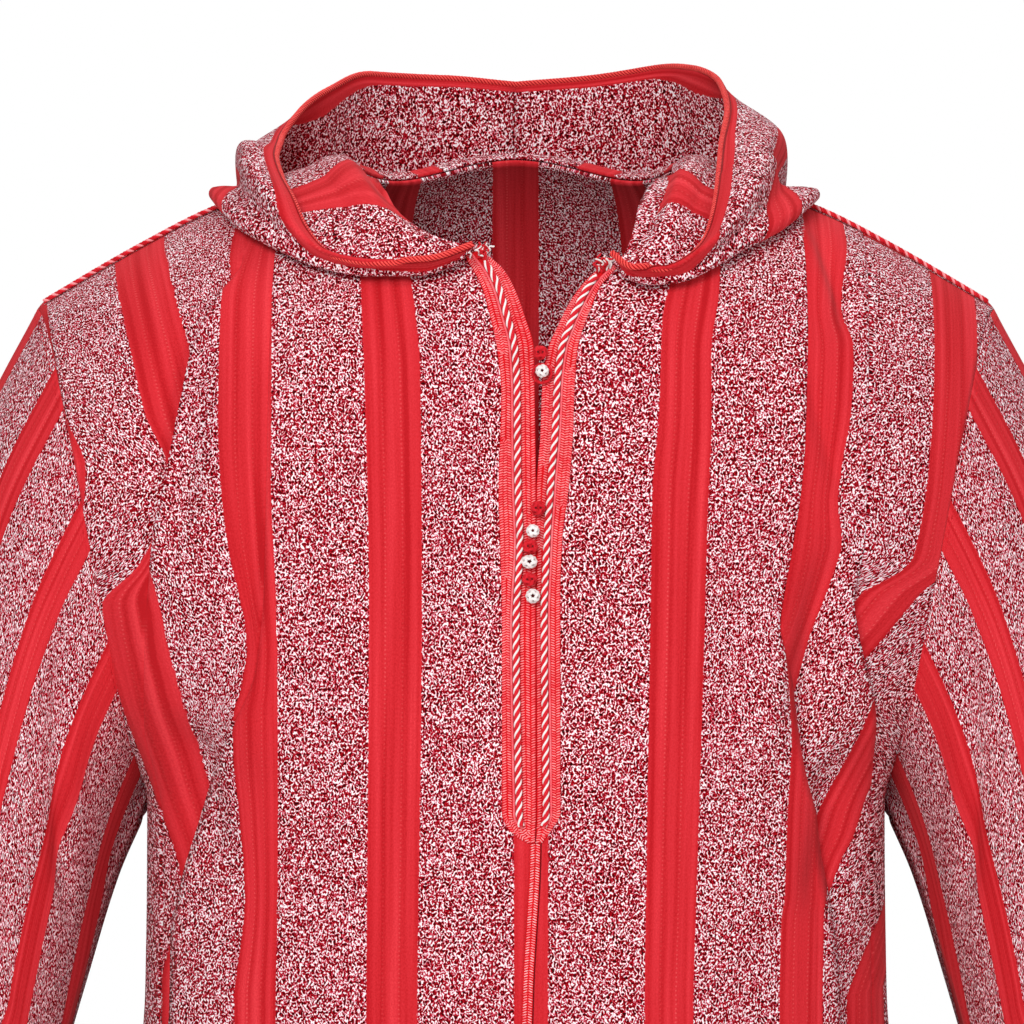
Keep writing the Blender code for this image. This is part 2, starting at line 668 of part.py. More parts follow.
def centre_braid():
    # the flat braid that covers the centre front seam, from the placket's tip to the hem
    lift = WALL / 2 + GAP + BRAID / 2
    rows = []
    for drop in np.linspace(PLACKET["right"][-1][0] + GAP, HEM, CENTRE_ROWS):
        x = smooth(CENTRE, drop, 1)
        depth = smooth(BODY, drop, 2)
        rows.append([np.array([x + k * CENTRE_HALF, RIDGE_Y - depth - lift, -drop]) for k in (-1, 1)])
    grid = np.array(rows)
    wall("centre_braid", grid, grid_normals(grid, (0, -1, 0)), BRAID, BRAID_RED, 0.7)


def shoulder_cord(name):
    side = -1 if name == "right" else 1
    lift = WALL / 2 + GAP + SEAM_CORD
    path = []
    for x in np.linspace(SEAM_CORD_START, TIP - SEAM_CORD_END, SEAM_CORD_POINTS):
        path.append(body(side, x, SEAM_GIRTH) + body_normal(side, x, SEAM_GIRTH) * lift)
    cord("shoulder_cord_" + name, path, SEAM_CORD, RED)


def on_placket(x, drop, lift):
    return on_front(1, x, drop, lift)


def thread_ball(name, x, drop, radius, lift):
    bm = bmesh.new()
    bmesh.ops.create_uvsphere(bm, u_segments=10, v_segments=6, radius=radius)
    mesh = bpy.data.meshes.new(name)
    bm.to_mesh(mesh)
    bm.free()
    piece = finish(name, mesh, WHITE, 0.8)
    piece.location = Vector(on_placket(x, drop, lift))


def thread_knot(name, x, drop, radius, lift):
    bm = bmesh.new()
    bmesh.ops.create_icosphere(bm, subdivisions=2, radius=radius)
    mesh = bpy.data.meshes.new(name)
    bm.to_mesh(mesh)
    bm.free()
    piece = finish(name, mesh, RED, 0.9)
    piece.location = Vector(on_placket(x, drop, lift))


def button_loop():
    # a ring of red thread round the first button, lying on the braid
    x, drop = LOOP_PLACE
    lift = WALL / 2 + GAP + BRAID + GAP + LOOP_THREAD
    bm = bmesh.new()
    rings = []
    for k in range(LOOP_STEPS):
        angle = 2 * pi * k / LOOP_STEPS
        ring = []
        for s in range(LOOP_SIDES):
            turn = 2 * pi * s / LOOP_SIDES
            reach = LOOP_RADIUS + LOOP_THREAD * cos(turn)
            height = lift + LOOP_THREAD * sin(turn)
            ring.append(bm.verts.new(on_placket(x + reach * cos(angle), drop + reach * sin(angle), height)))
        rings.append(ring)
    for k in range(LOOP_STEPS):
        a, b = rings[k], rings[(k + 1) % LOOP_STEPS]
        for s in range(LOOP_SIDES):
            t = (s + 1) % LOOP_SIDES
            bm.faces.new((a[s], b[s], b[t], a[t]))
    bmesh.ops.recalc_face_normals(bm, faces=bm.faces)
    mesh = bpy.data.meshes.new("button_loop")
    bm.to_mesh(mesh)
    bm.free()
    finish("button_loop", mesh, RED, 0.8)


clear_scene()
front_edges = front_panels()
back_edges = back_panel()
for half in ("right", "left"):
    sleeve(half, front_edges[half], back_edges[half])
    placket_braid(half)
    placket_cord(half)
    shoulder_cord(half)
rims = [hood_half(half) for half in ("right", "left")]
cord("hood_edge_braid", list(rims[0]) + list(rims[1][::-1]), EDGE_CORD, BRAID_RED)
centre_braid()
for row in BALLS:
    thread_ball(*row)
for row in KNOTS:
    thread_knot(*row)
button_loop()
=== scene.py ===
import math
import bmesh
import bpy
import numpy as np
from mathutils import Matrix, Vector


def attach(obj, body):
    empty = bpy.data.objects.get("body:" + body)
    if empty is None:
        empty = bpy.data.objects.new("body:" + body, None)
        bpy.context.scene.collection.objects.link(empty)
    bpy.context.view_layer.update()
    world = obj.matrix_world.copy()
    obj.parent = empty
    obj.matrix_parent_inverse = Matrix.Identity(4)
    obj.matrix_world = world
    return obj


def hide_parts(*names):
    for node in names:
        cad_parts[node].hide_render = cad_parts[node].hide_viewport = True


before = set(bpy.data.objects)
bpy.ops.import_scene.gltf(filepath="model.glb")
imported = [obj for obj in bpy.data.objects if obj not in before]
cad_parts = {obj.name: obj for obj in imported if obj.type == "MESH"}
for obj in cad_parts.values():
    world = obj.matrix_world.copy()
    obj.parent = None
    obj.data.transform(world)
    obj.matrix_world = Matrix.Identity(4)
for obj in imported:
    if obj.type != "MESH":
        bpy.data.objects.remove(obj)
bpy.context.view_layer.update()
mm = 0.001
sides = {"right": -1, "left": 1}

# The wearer's right is at -X. A drop is a distance below the origin, a girth a distance on the cloth
# from the shoulder ridge, below zero to the front. Tables with a drop or a height are in metres.
form = {
    "hem": 1.38,
    "neckHalf": 0.078,      # half width of the neck hole
    "napeRise": 0.026,
    "napeGirth": 0.068,
    "tip": 0.235,           # x of the dropped shoulder's seam
    "underarm": 0.31,
    "capFall": 0.090,       # the cloth turns from level to upright within this drop
    "capGirth": 0.165,      # and this much cloth
    "ridgeY": 0.005,
    "seamGirth": -0.030,    # the shoulder seam, a little in front of the ridge
    "round": 2.4,           # squareness of a level section, 2 for an ellipse
    "seamGap": 0.15 * mm,   # half the gap between pieces that meet
    # x and height of the ridge
    "shoulder": [
        (0.0, 0.006), (0.078, 0.004), (0.120, -0.005), (0.149, -0.0155), (0.180, -0.031), (0.240, -0.065),
    ],
    # drop, half width, front depth, back depth
    "rows": [
        (-0.06, 0.262, 0.100, 0.106), (0.06, 0.262, 0.119, 0.120), (0.12, 0.258, 0.125, 0.126),
        (0.17, 0.246, 0.129, 0.127), (0.24, 0.214, 0.133, 0.123), (0.31, 0.182, 0.136, 0.118),
        (0.40, 0.183, 0.139, 0.118), (0.50, 0.195, 0.142, 0.124), (0.70, 0.220, 0.148, 0.136),
        (1.00, 0.255, 0.160, 0.150), (1.38, 0.290, 0.176, 0.168),
    ],
    # drop and x of the two fronts' meeting line
    "centre": [(0.0, 0.0094), (0.156, 0.0094), (0.32, 0.0090), (0.39, 0.0055), (0.55, 0.002), (1.38, 0.0)],
    # drop, inner edge and outer edge of the placket
    "placket": {
        "right": [
            (0.0415, 0.0180, 0.0250), (0.0460, 0.0118, 0.0235), (0.0520, 0.0056, 0.0200),
            (0.0600, 0.0009, 0.0160), (0.0724, -0.0038, 0.0125), (0.0893, -0.0085, 0.0088),
            (0.1100, -0.0089, 0.0069), (0.1560, -0.0094, 0.0082), (0.1780, -0.0094, 0.0075),
            (0.2200, -0.0094, 0.0066), (0.3060, -0.0094, 0.0066), (0.3140, -0.0092, 0.0032),
            (0.3200, -0.0090, -0.0055),
        ],
        "left": [
            (0.0480, 0.0447, 0.0500), (0.0536, 0.0362, 0.0448), (0.0600, 0.0301, 0.0394),
            (0.0686, 0.0244, 0.0357), (0.0785, 0.0193, 0.0318), (0.0884, 0.0150, 0.0290),
            (0.1050, 0.0122, 0.0276), (0.1300, 0.0112, 0.0266), (0.1560, 0.0094, 0.0245),
            (0.1780, 0.0094, 0.0216), (0.2060, 0.0094, 0.0207), (0.3060, 0.0094, 0.0207),
            (0.3140, 0.0094, 0.0165), (0.3200, 0.0092, 0.0120),
        ],
    },
}
cloth = {
    "thickness": 1.6 * mm,
    "period": 69.5 * mm,    # from one red stripe to the next
    "halfRed": 12.2 * mm,
}


def smooth(rows, at, column=1):
    # a monotone curve through one column of a table, keyed by its first column
    keys = np.array([row[0] for row in rows], float)
    values = np.array([row[column] for row in rows], float)
    at = np.clip(at, keys[0], keys[-1])
    steps = np.diff(values) / np.diff(keys)
    before, after = steps[:-1], steps[1:]
    same = before * after > 0
    inner = np.where(same, 2 * before * after / np.where(same, before + after, 1.0), 0.0)
    slopes = np.concatenate([steps[:1], inner, steps[-1:]])
    i = np.clip(np.searchsorted(keys, at, side="right") - 1, 0, len(steps) - 1)
    span = keys[i + 1] - keys[i]
    t = (at - keys[i]) / span
    rise = values[i + 1] - values[i]
    bend = slopes[i] * span - rise
    lift = rise - slopes[i + 1] * span
    return values[i] + rise * t + t * (1 - t) * (bend * (1 - t) + lift * t)


def mix(a, b, t):
    return a + (b - a) * t


def ease(t):
    t = np.clip(t, 0.0, 1.0)
    return t * t * (3 - 2 * t)


def ramp(value, start, end):
    return ease((value - start) / (end - start))


def unit(v):
    return v / np.maximum(np.linalg.norm(v, axis=-1, keepdims=True), 1e-9)


def runLength(path):
    # length along a path up to each of its points
    return np.concatenate([[0], np.cumsum(np.linalg.norm(np.diff(path, axis=0), axis=1))])


def ridge(x, back):
    nape = form["napeRise"] * np.clip(1 - (x / form["neckHalf"]) ** 2, 0, None) ** 2
    return smooth(form["shoulder"], np.abs(x)) + np.where(back, nape, 0.0)


def girthAt(x, drop, back=False):
    # distance on the cloth from the ridge down to a drop
    fall = np.clip(ridge(x, back) + drop, 0, None)
    turning = form["capGirth"] * np.arccos(np.clip(1 - fall / form["capFall"], -1, 1)) / (math.pi / 2)
    return np.where(fall < form["capFall"], turning, form["capGirth"] + fall - form["capFall"])


def bodyPoint(side, x, girth):
    back = girth > 0
    turn = np.clip(np.abs(girth) / form["capGirth"], 0, 1) * math.pi / 2
    below = np.clip(np.abs(girth) - form["capGirth"], 0, None)
    height = ridge(x, back) - form["capFall"] * (1 - np.cos(turn)) - below
    across = np.clip(np.abs(x) / smooth(form["rows"], -height, 1), 0, 1)
    depth = np.where(back, smooth(form["rows"], -height, 3), smooth(form["rows"], -height, 2))
    depth = depth * (1 - across ** form["round"]) ** (1 / form["round"]) * np.sin(turn)
    return np.stack([side * x + 0 * height, form["ridgeY"] + np.where(back, depth, -depth), height], -1)


def bodyNormal(side, x, girth):
    step = 0.5 * mm
    across = bodyPoint(side, x + step, girth) - bodyPoint(side, x - step, girth)
    down = bodyPoint(side, x, girth + step) - bodyPoint(side, x, girth - step)
    return unit(np.cross(across, down) * side)


def neckline(name, t):
    # from the V top (-1) over the shoulder ridge (0) to the nape (1)
    drop, inner, _ = form["placket"][name][0]
    angle = abs(t) * math.pi / 2
    if t < 0:
        x = inner + (form["neckHalf"] - inner) * math.cos(angle)
        return x, -float(girthAt(inner, drop)) * math.sin(angle)
    return form["neckHalf"] * math.cos(angle), form["napeGirth"] * math.sin(angle)


def seamStart(name):
    drop, inner, _ = form["placket"][name][0]
    return -math.asin(-form["seamGirth"] / float(girthAt(inner, drop))) / (math.pi / 2)


def arcAlong(side, x, drop, back):
    # length of cloth from the middle of the panel to x, level round the body
    total = 0.0
    sign = 1 if back else -1
    last = bodyPoint(side, 0 * x, sign * girthAt(0 * x, drop, back))
    for k in range(1, 17):
        here = bodyPoint(side, x * k / 16, sign * girthAt(x * k / 16, drop, back))
        total = total + np.linalg.norm(here - last, axis=-1)
        last = here
    return total


def gridNormals(grid, outward):
    down = np.gradient(grid, axis=0)
    across = np.gradient(grid, axis=1)
    normals = unit(np.cross(across, down))
    middle = normals[grid.shape[0] // 2, grid.shape[1] // 2]
    return normals if np.dot(middle, outward) > 0 else -normals


# How the front's cloth lies. An edge is (stripe, side), counted from the middle one, and has rows of
# drop and x; the cloth folds over itself along each fold, and the layer beyond it has its own edges.
drape = {
    "right": {
        "start": 11 * mm,       # cloth from the middle stripe's centre to the panel's middle
        "folds": [
            [
                (0.0, 0.114), (0.10, 0.117), (0.20, 0.119), (0.24, 0.123), (0.27, 0.135), (0.301, 0.147),
                (0.347, 0.160), (0.389, 0.1685), (0.50, 0.172), (0.80, 0.188), (1.38, 0.215),
            ],
            [
                (0.0, 0.129), (0.045, 0.131), (0.065, 0.143), (0.092, 0.1545), (0.145, 0.166),
                (0.190, 0.174), (0.240, 0.178), (0.50, 0.186), (0.80, 0.212), (1.38, 0.250),
            ],
        ],
        "over": {
            (0, 1): [(0.0, 0.001), (0.35, 0.001)],
            (1, -1): [(0.047, 0.051), (0.075, 0.047), (0.097, 0.045), (0.207, 0.044), (0.389, 0.046)],
            (1, 1): [(0.046, 0.074), (0.113, 0.071), (0.207, 0.069), (0.389, 0.070)],
            (2, -1): [(0.04, 0.115), (0.15, 0.115), (0.207, 0.113), (0.301, 0.112), (0.391, 0.113)],
            (2, 1): [
                (0.032, 0.129), (0.065, 0.140), (0.127, 0.1405), (0.155, 0.139), (0.183, 0.1355),
                (0.207, 0.130), (0.217, 0.1275), (0.230, 0.1264), (0.240, 0.1277), (0.250, 0.1297),
                (0.261, 0.1333), (0.282, 0.1333), (0.307, 0.1308), (0.348, 0.1277), (0.392, 0.133),
            ],
        },
        "under": {
            (2, 1): [
                (0.0, 0.129), (0.045, 0.137), (0.065, 0.133), (0.092, 0.118), (0.145, 0.105),
                (0.175, 0.115), (0.195, 0.130), (0.207, 0.130), (0.217, 0.1275), (0.230, 0.1264),
                (0.240, 0.1277), (0.250, 0.1297), (0.261, 0.1333), (0.270, 0.1320), (0.282, 0.125),
                (0.301, 0.110), (0.347, 0.094), (0.39, 0.100),
            ],
            (3, -1): [
                (0.0, 0.182), (0.037, 0.170), (0.092, 0.154), (0.145, 0.145), (0.175, 0.160),
                (0.203, 0.1712), (0.2143, 0.1686), (0.240, 0.1616), (0.261, 0.156), (0.279, 0.1503),
                (0.298, 0.1454), (0.320, 0.140), (0.347, 0.135), (0.39, 0.146),
            ],
            (3, 1): [
                (0.0, 0.210), (0.037, 0.199), (0.092, 0.183), (0.120, 0.176), (0.145, 0.166),
                (0.160, 0.167), (0.178, 0.172), (0.192, 0.180), (0.210, 0.198), (0.250, 0.192),
                (0.297, 0.177), (0.345, 0.160), (0.39, 0.170),
            ],
        },
        "turn": (0.195, 0.245),  # drops where the outer fold gives way to the inner one
    },
    "left": {
        "start": -2.5 * mm,
        "folds": [
            [
                (0.0, 0.136), (0.05, 0.139), (0.131, 0.137), (0.155, 0.135), (0.181, 0.131),
                (0.205, 0.1265), (0.220, 0.1245), (0.2335, 0.1272), (0.2467, 0.1300), (0.2538, 0.1309),
                (0.2608, 0.1316), (0.275, 0.1335), (0.289, 0.1363), (0.309, 0.141), (0.327, 0.1442),
                (0.348, 0.1483), (0.394, 0.153), (0.50, 0.158), (0.80, 0.178), (1.38, 0.210),
            ],
            [
                (0.0, 0.172), (0.10, 0.168), (0.18, 0.166), (0.208, 0.160), (0.223, 0.162),
                (0.236, 0.165), (0.260, 0.171), (0.32, 0.174), (0.50, 0.182), (0.80, 0.208),
                (1.38, 0.248),
            ],
        ],
        "over": {
            (0, 1): [(0.0, 0.015), (0.389, 0.015)],
            (1, -1): [
                (0.053, 0.074), (0.075, 0.069), (0.122, 0.067), (0.155, 0.064), (0.207, 0.063),
                (0.389, 0.060),
            ],
            (1, 1): [
                (0.047, 0.097), (0.062, 0.096), (0.091, 0.092), (0.122, 0.092), (0.169, 0.090),
                (0.207, 0.089), (0.390, 0.083),
            ],
            (2, -1): [
                (0.034, 0.139), (0.131, 0.137), (0.155, 0.135), (0.181, 0.131), (0.220, 0.1243),
                (0.2335, 0.1262), (0.2467, 0.1279), (0.2538, 0.1286), (0.2608, 0.1291), (0.275, 0.1296),
                (0.289, 0.1292), (0.309, 0.1281), (0.327, 0.1274), (0.348, 0.1266), (0.358, 0.125),
                (0.394, 0.124),
            ],
        },
        "under": {
            (2, -1): [
                (0.034, 0.139), (0.131, 0.137), (0.155, 0.135), (0.181, 0.131), (0.205, 0.1265),
                (0.220, 0.122), (0.233, 0.114), (0.250, 0.107), (0.300, 0.085),
            ],
            (2, 1): [
                (0.038, 0.160), (0.070, 0.155), (0.086, 0.160), (0.113, 0.159), (0.146, 0.154),
                (0.160, 0.152), (0.180, 0.154), (0.193, 0.151), (0.206, 0.1466), (0.2227, 0.1396),
                (0.237, 0.1353), (0.251, 0.1312), (0.282, 0.118), (0.318, 0.104), (0.360, 0.095),
            ],
            (3, -1): [
                (0.0, 0.205), (0.150, 0.196), (0.200, 0.186), (0.236, 0.176), (0.265, 0.1665),
                (0.275, 0.162), (0.289, 0.155), (0.300, 0.1493), (0.309, 0.1445), (0.316, 0.1425),
                (0.334, 0.137), (0.351, 0.131), (0.390, 0.120),
            ],
            (3, 1): [
                (0.0, 0.23), (0.20, 0.211), (0.250, 0.193), (0.280, 0.180), (0.302, 0.169),
                (0.3215, 0.162), (0.3314, 0.1563), (0.3455, 0.1507), (0.376, 0.138), (0.390, 0.134),
            ],
            (4, -1): [(0.0, 0.28), (0.300, 0.216), (0.350, 0.185), (0.376, 0.168), (0.397, 0.158)],
        },
        "beyond": {
            (3, -1): [(0.170, 0.190), (0.196, 0.169), (0.208, 0.160), (0.236, 0.137), (0.260, 0.118)],
            (3, 1): [(0.170, 0.225), (0.196, 0.200), (0.208, 0.190), (0.236, 0.166), (0.260, 0.147)],
        },
        "turn": (0.185, 0.205, 0.250, 0.300),   # the outer layer comes in and dies away between these drops
    },
    "natural": (0.42, 0.80),    # the cloth hangs straight again below these drops
    "overRise": 0.10,           # the over layer stands out, and the under layer lies in, by these shares of
    "underSink": 0.15,          # the cloth hidden in a fold
    "mostRise": 3.0 * mm,
    "mostSink": 5.0 * mm,
    "mostTuck": 10 * mm,
    "tuckDepth": 2.8 * mm,      # how much lower the hidden cloth lies
    "tuckFull": 0.008,          # it is that low where so much cloth or more is hidden
    "riseReach": 0.022, "sinkReach": 0.018,  # how far from the fold the rise and the sink go
    "zone": 1.3 * mm,           # half width of a fold's edge
    "apart": 9 * mm,            # the least between two folds
    "slope": (1.0, 1.15),       # least and most cloth to a metre of x
    "edgeFade": 0.10, "foldFade": 0.06,  # shares of the width by the side seam where it all dies away
}
# points across a level, across each part between the folds and in a fold's edge, and rows down
weave = {
    "across": 241, "front": [42, 14, 20], "back": [64], "fold": 11, "yoke": 96,
    "rowStep": 0.0035, "skirtFrom": 0.46, "skirtStart": 0.464, "skirt": 95,
    "turned": 0.75,             # how far the points crowd towards the side seam
}

# x and drop at the upper end, x and drop at the lower end, half width, height; a trough is below zero
creases = {
    "front": [
        (-0.150, 0.070, -0.166, 0.200, 0.011, -0.011), (-0.160, 0.255, -0.143, 0.345, 0.011, -0.011),
        (-0.128, 0.190, -0.122, 0.300, 0.014, 0.006), (0.152, 0.170, 0.130, 0.290, 0.011, -0.010),
        (0.158, 0.270, 0.142, 0.370, 0.010, -0.010), (0.122, 0.200, 0.118, 0.300, 0.014, 0.006),
        (0.134, 0.015, 0.153, 0.085, 0.006, 0.0030), (0.143, 0.015, 0.162, 0.095, 0.006, -0.0045),
        (0.136, 0.085, 0.156, 0.165, 0.006, -0.0045), (-0.118, 0.120, -0.131, 0.260, 0.006, -0.004),
        (-0.105, 0.480, -0.150, 1.700, 0.035, 0.016), (-0.160, 0.420, -0.220, 1.700, 0.022, -0.014),
        (-0.040, 0.700, -0.055, 1.800, 0.030, -0.014), (0.060, 0.600, 0.085, 1.800, 0.032, 0.015),
        (0.120, 0.420, 0.160, 1.700, 0.026, -0.014), (0.165, 0.560, 0.235, 1.700, 0.024, 0.014),
    ],
    "back": [
        (-0.150, 0.110, -0.158, 0.330, 0.013, -0.010), (0.148, 0.120, 0.160, 0.340, 0.013, -0.010),
        (-0.155, 0.420, -0.215, 1.700, 0.024, 0.014), (-0.095, 0.450, -0.130, 1.700, 0.028, -0.016),
        (-0.030, 0.520, -0.040, 1.800, 0.034, 0.016), (0.045, 0.480, 0.060, 1.800, 0.028, -0.014),
        (0.110, 0.430, 0.150, 1.700, 0.030, 0.016), (0.165, 0.500, 0.235, 1.700, 0.022, -0.012),
    ],
}


def creaseEnds(along):
    # a crease fades in and out over a third of its length
    return ease(along / 0.35) * ease((1 - along) / 0.35)


def creaseHeight(panel, x, drop):
    total = 0.0 * x
    for x1, drop1, x2, drop2, half, height in creases[panel]:
        along = (drop - drop1) / (drop2 - drop1)
        total = total + height * creaseEnds(along) * np.exp(-((x - mix(x1, x2, along)) / half) ** 2)
    return total


def throughEdges(edges, x, drop, slope):
    # distance on the cloth at x, read between the stripes' edges at that drop
    keys = sorted(edges)
    values = [stripe * cloth["period"] + edge * cloth["halfRed"] for stripe, edge in keys]
    places = [smooth(edges[key], drop) for key in keys]
    result = values[0] + (x - places[0]) * slope
    for k in range(len(keys) - 1):
        t = (x - places[k]) / np.maximum(places[k + 1] - places[k], 2 * mm)
        result = np.where(x >= places[k], mix(values[k], values[k + 1], t), result)
    return np.where(x >= places[-1], values[-1] + (x - places[-1]) * slope, result)


def clothAcross(name, side, region, x, drop):
    # distance on the cloth from the centre stripe, in one of the regions that the folds part
    table = drape[name]
    step = 1 * mm
    ahead = bodyPoint(side, x + step, -girthAt(x + step, drop))
    ahead = ahead - bodyPoint(side, x - step, -girthAt(x - step, drop))
    slope = np.clip(np.linalg.norm(ahead, axis=-1) / (2 * step), *drape["slope"])
    over = throughEdges(table["over"], x, drop, slope)
    under = throughEdges(table["under"], x, drop, slope)
    if name == "right":
        middle = mix(over, under, ramp(drop, *table["turn"]))
        last = under
    else:
        middle = under
        rise, full, fall, gone = table["turn"]
        beyond = throughEdges(table["beyond"], x, drop, slope)
        last = mix(under, beyond, ramp(drop, rise, full) * (1 - ramp(drop, fall, gone)))
    chosen = (over, middle, last)[region]
    natural = arcAlong(side, x, drop, False) + table["start"]
    return mix(chosen, natural, ramp(drop, *drape["natural"]))


def panelLine(name, back, level):
    # x and girth along one level of a panel; a level up to 1 is a share of the yoke, past it 1 + a drop
    sign = 1 if back else -1
    start = seamStart(name)
    ends = np.linspace(1.0 if back else -1.0, start, weave["across"] // 3, endpoint=False)
    top = [neckline(name, t) for t in ends]
    seamX = neckline(name, start)[0]
    rest = weave["across"] - len(top)
    top += [(x, form["seamGirth"]) for x in np.linspace(seamX, form["tip"], rest)]
    top = np.array(top)
    high = (top[:, 0] - top[0, 0]) / (form["tip"] - top[0, 0])
    low = np.sin(math.pi / 2 * np.linspace(0, 1, weave["across"])) ** (2 / form["round"])
    if level <= 1:
        underarm = form["underarm"]
        innerGirth = mix(top[0, 1], sign * float(girthAt(0.0, underarm, back)), level)
        inner = 0.0 if back else innerEdge(name, -bodyPoint(1, np.array(0.0), np.array(innerGirth))[2])
        outer = mix(form["tip"], float(smooth(form["rows"], underarm, 1)), level)
        x = mix(inner, outer, mix(high, low, ease(level)))
        return x, mix(top[:, 1], sign * girthAt(x, underarm, back), level)
    drop = level - 1
    inner = 0.0 if back else innerEdge(name, drop)
    x = mix(inner, float(smooth(form["rows"], drop, 1)), low)
    return x, sign * girthAt(x, drop, back)


def innerEdge(name, drop):
    side = sides[name]
    if drop < form["placket"][name][-1][0]:
        return float(smooth(form["placket"][name], drop, 1)) + form["seamGap"]
    return side * float(smooth(form["centre"], drop, 1)) + form["seamGap"]


def panelLevels():
    step = weave["rowStep"]
    levels = [j / weave["yoke"] for j in range(weave["yoke"] + 1)]
    levels += [1 + drop for drop in np.arange(form["underarm"] + step, weave["skirtFrom"], step)]
    levels += [1 + drop for drop in np.linspace(weave["skirtStart"], form["hem"], weave["skirt"])]
    return levels


def panelGrid(name, back):
    # x, girth and share across of every point of one half, each column's part, and the folds' x
    side = sides[name]
    panel = "back" if back else "front"
    folds = [] if back else drape[name]["folds"]
    counts = weave[panel]
    zone = drape["zone"]
    shares = np.linspace(0, 1, weave["across"])
    xs, girths, across, marks = [], [], [], []
    for level in panelLevels():
        x, girth = panelLine(name, back, level)
        drop = -bodyPoint(side, x, girth)[:, 2]
        edges = [x[0]]
        normal = bodyNormal(side, x, girth)
        moved = creaseHeight(panel, side * x, drop)
        for table in folds:
            miss = x + side * normal[:, 0] * moved - smooth(table, drop - normal[:, 2] * moved)
            k = int(np.argmax(miss > 0)) if (miss > 0).any() else len(x) - 1
            k = max(k, 1)
            t = -miss[k - 1] / (miss[k] - miss[k - 1])
            edges.append(float(mix(x[k - 1], x[k], np.clip(t, 0, 1))))
        edges.append(x[-1])
        for k in range(len(edges) - 2, 0, -1):
            edges[k] = min(edges[k], edges[k + 1] - drape["apart"])
        line, region = [], []
        for k, count in enumerate(counts):
            begin = edges[k] + (zone if k else 0)
            end = edges[k + 1] - (zone if k < len(counts) - 1 else 0)
            t = np.linspace(0, 1, count + 1)
            if k == len(counts) - 1:
                turned = np.sin(math.pi / 2 * t) ** (2 / form["round"])
                t = mix(t, turned, weave["turned"] * min(level, 1.0))
            line += list(mix(begin, end, t))
            region += [k] * (count + 1)
            if k < len(counts) - 1:
                line += list(np.linspace(end, end + 2 * zone, weave["fold"] + 2)[1:-1])
                region += [k + 0.5] * weave["fold"]
        xs.append(np.array(line))
        girths.append(np.interp(line, x, girth))
        across.append(np.interp(line, x, shares))
        marks.append(edges[1:-1])
    return side, np.array(xs), np.array(girths), np.array(across), np.array(region), np.array(marks)


def frontPanel(name):
    side, x, girth, across, regions, marks = panelGrid(name, False)
    base = bodyPoint(side, x, girth)
    drop = -base[..., 2]
    normals = gridNormals(base, (0, -1, 0))
    tangents = unit(np.gradient(base, axis=1))
    fade = np.clip((1 - across) / drape["edgeFade"], 0, 1)
    inner = fade * np.clip((across - drape["edgeFade"]) / drape["edgeFade"], 0, 1)
    inner[0] = 0
    creased = creaseHeight("front", side * x, drop) * inner
    distances = [x - marks[:, fold][:, None] for fold in range(2)]
    height = creased
    for _ in range(2):
        # where the cloth is now tells which part of it shows there, and how much each fold hides
        place = base + normals * height[..., None]
        at, low = side * place[..., 0], -place[..., 2]
        u = np.zeros_like(x)
        for region in range(3):
            columns = np.where(regions == region)[0]
            u[:, columns] = clothAcross(name, side, region, at[:, columns], low[:, columns])
        height = creased
        folded = []
        for fold in range(2):
            columns = np.where(regions == fold + 0.5)[0]
            before, after = columns[0] - 1, columns[-1] + 1
            hidden = np.maximum(u[:, after] - u[:, before], 0)
            hidden = hidden * np.clip((1 - across[:, after]) / drape["foldFade"], 0, 1)
            kernel = np.array([1, 2, 3, 2, 1]) / 9
            hidden = np.convolve(np.pad(hidden, 2, mode="edge"), kernel, "valid")
            rise = np.minimum(drape["overRise"] * hidden, drape["mostRise"])[:, None]
            sink = np.minimum(drape["underSink"] * hidden, drape["mostSink"])[:, None]
            away = distances[fold]
            height = height + np.where(away < 0, rise * np.exp(away / drape["riseReach"]), 0) * fade
            height = height - np.where(away > 0, sink * np.exp(-away / drape["sinkReach"]), 0) * fade
            folded.append((columns, before, after, hidden))
    for columns, before, after, hidden in folded:
        q = np.linspace(0, 1, len(columns) + 2)[1:-1][None, :]
        fall = q + 0.8 * np.sin(2 * math.pi * q) / (2 * math.pi)
        ends = height[:, before][:, None], height[:, after][:, None]
        inside = np.sin(math.pi * q) ** 2
        deep = np.clip(hidden / drape["tuckFull"], 0, 1)[:, None]
        height[:, columns] = mix(*ends, fall) - drape["tuckDepth"] * deep * inside
        tuck = np.minimum(hidden / 2, drape["mostTuck"])[:, None] * inside
        # it follows the creased cloth that lies over it
        above = creaseHeight("front", side * (x[:, columns] - tuck), drop[:, columns]) * inner[:, columns]
        height[:, columns] += np.minimum(above - creased[:, columns], 0)
        base[:, columns] -= tangents[:, columns] * tuck[..., None]
        u[:, columns] = mix(u[:, before][:, None], u[:, after][:, None], q)
    grid = base + normals * height[..., None]
    uv = np.stack([side * u, np.abs(girth) - ridge(x, False)], -1)
    return grid, uv


def backPanel():
    halves = []
    for name in sides:
        side, x, girth, across, _, _ = panelGrid(name, True)
        base = bodyPoint(side, x, girth)
        drop = -base[..., 2]
        normals = gridNormals(base, (0, 1, 0))
        normals[:, 0] = unit(normals[:, 0] * np.array([0.0, 1.0, 1.0]))
        fade = np.clip((1 - across) / drape["edgeFade"], 0, 1)
        fade[0] = 0
        grid = base + normals * (creaseHeight("back", side * x, drop) * fade)[..., None]
        u = arcAlong(side, x, drop, True)
        halves.append((grid, np.stack([side * u, girth - ridge(x, True)], -1)))
    right, left = halves
    return [np.concatenate([right[k][:, ::-1], left[k][:, 1:]], 1) for k in range(2)]


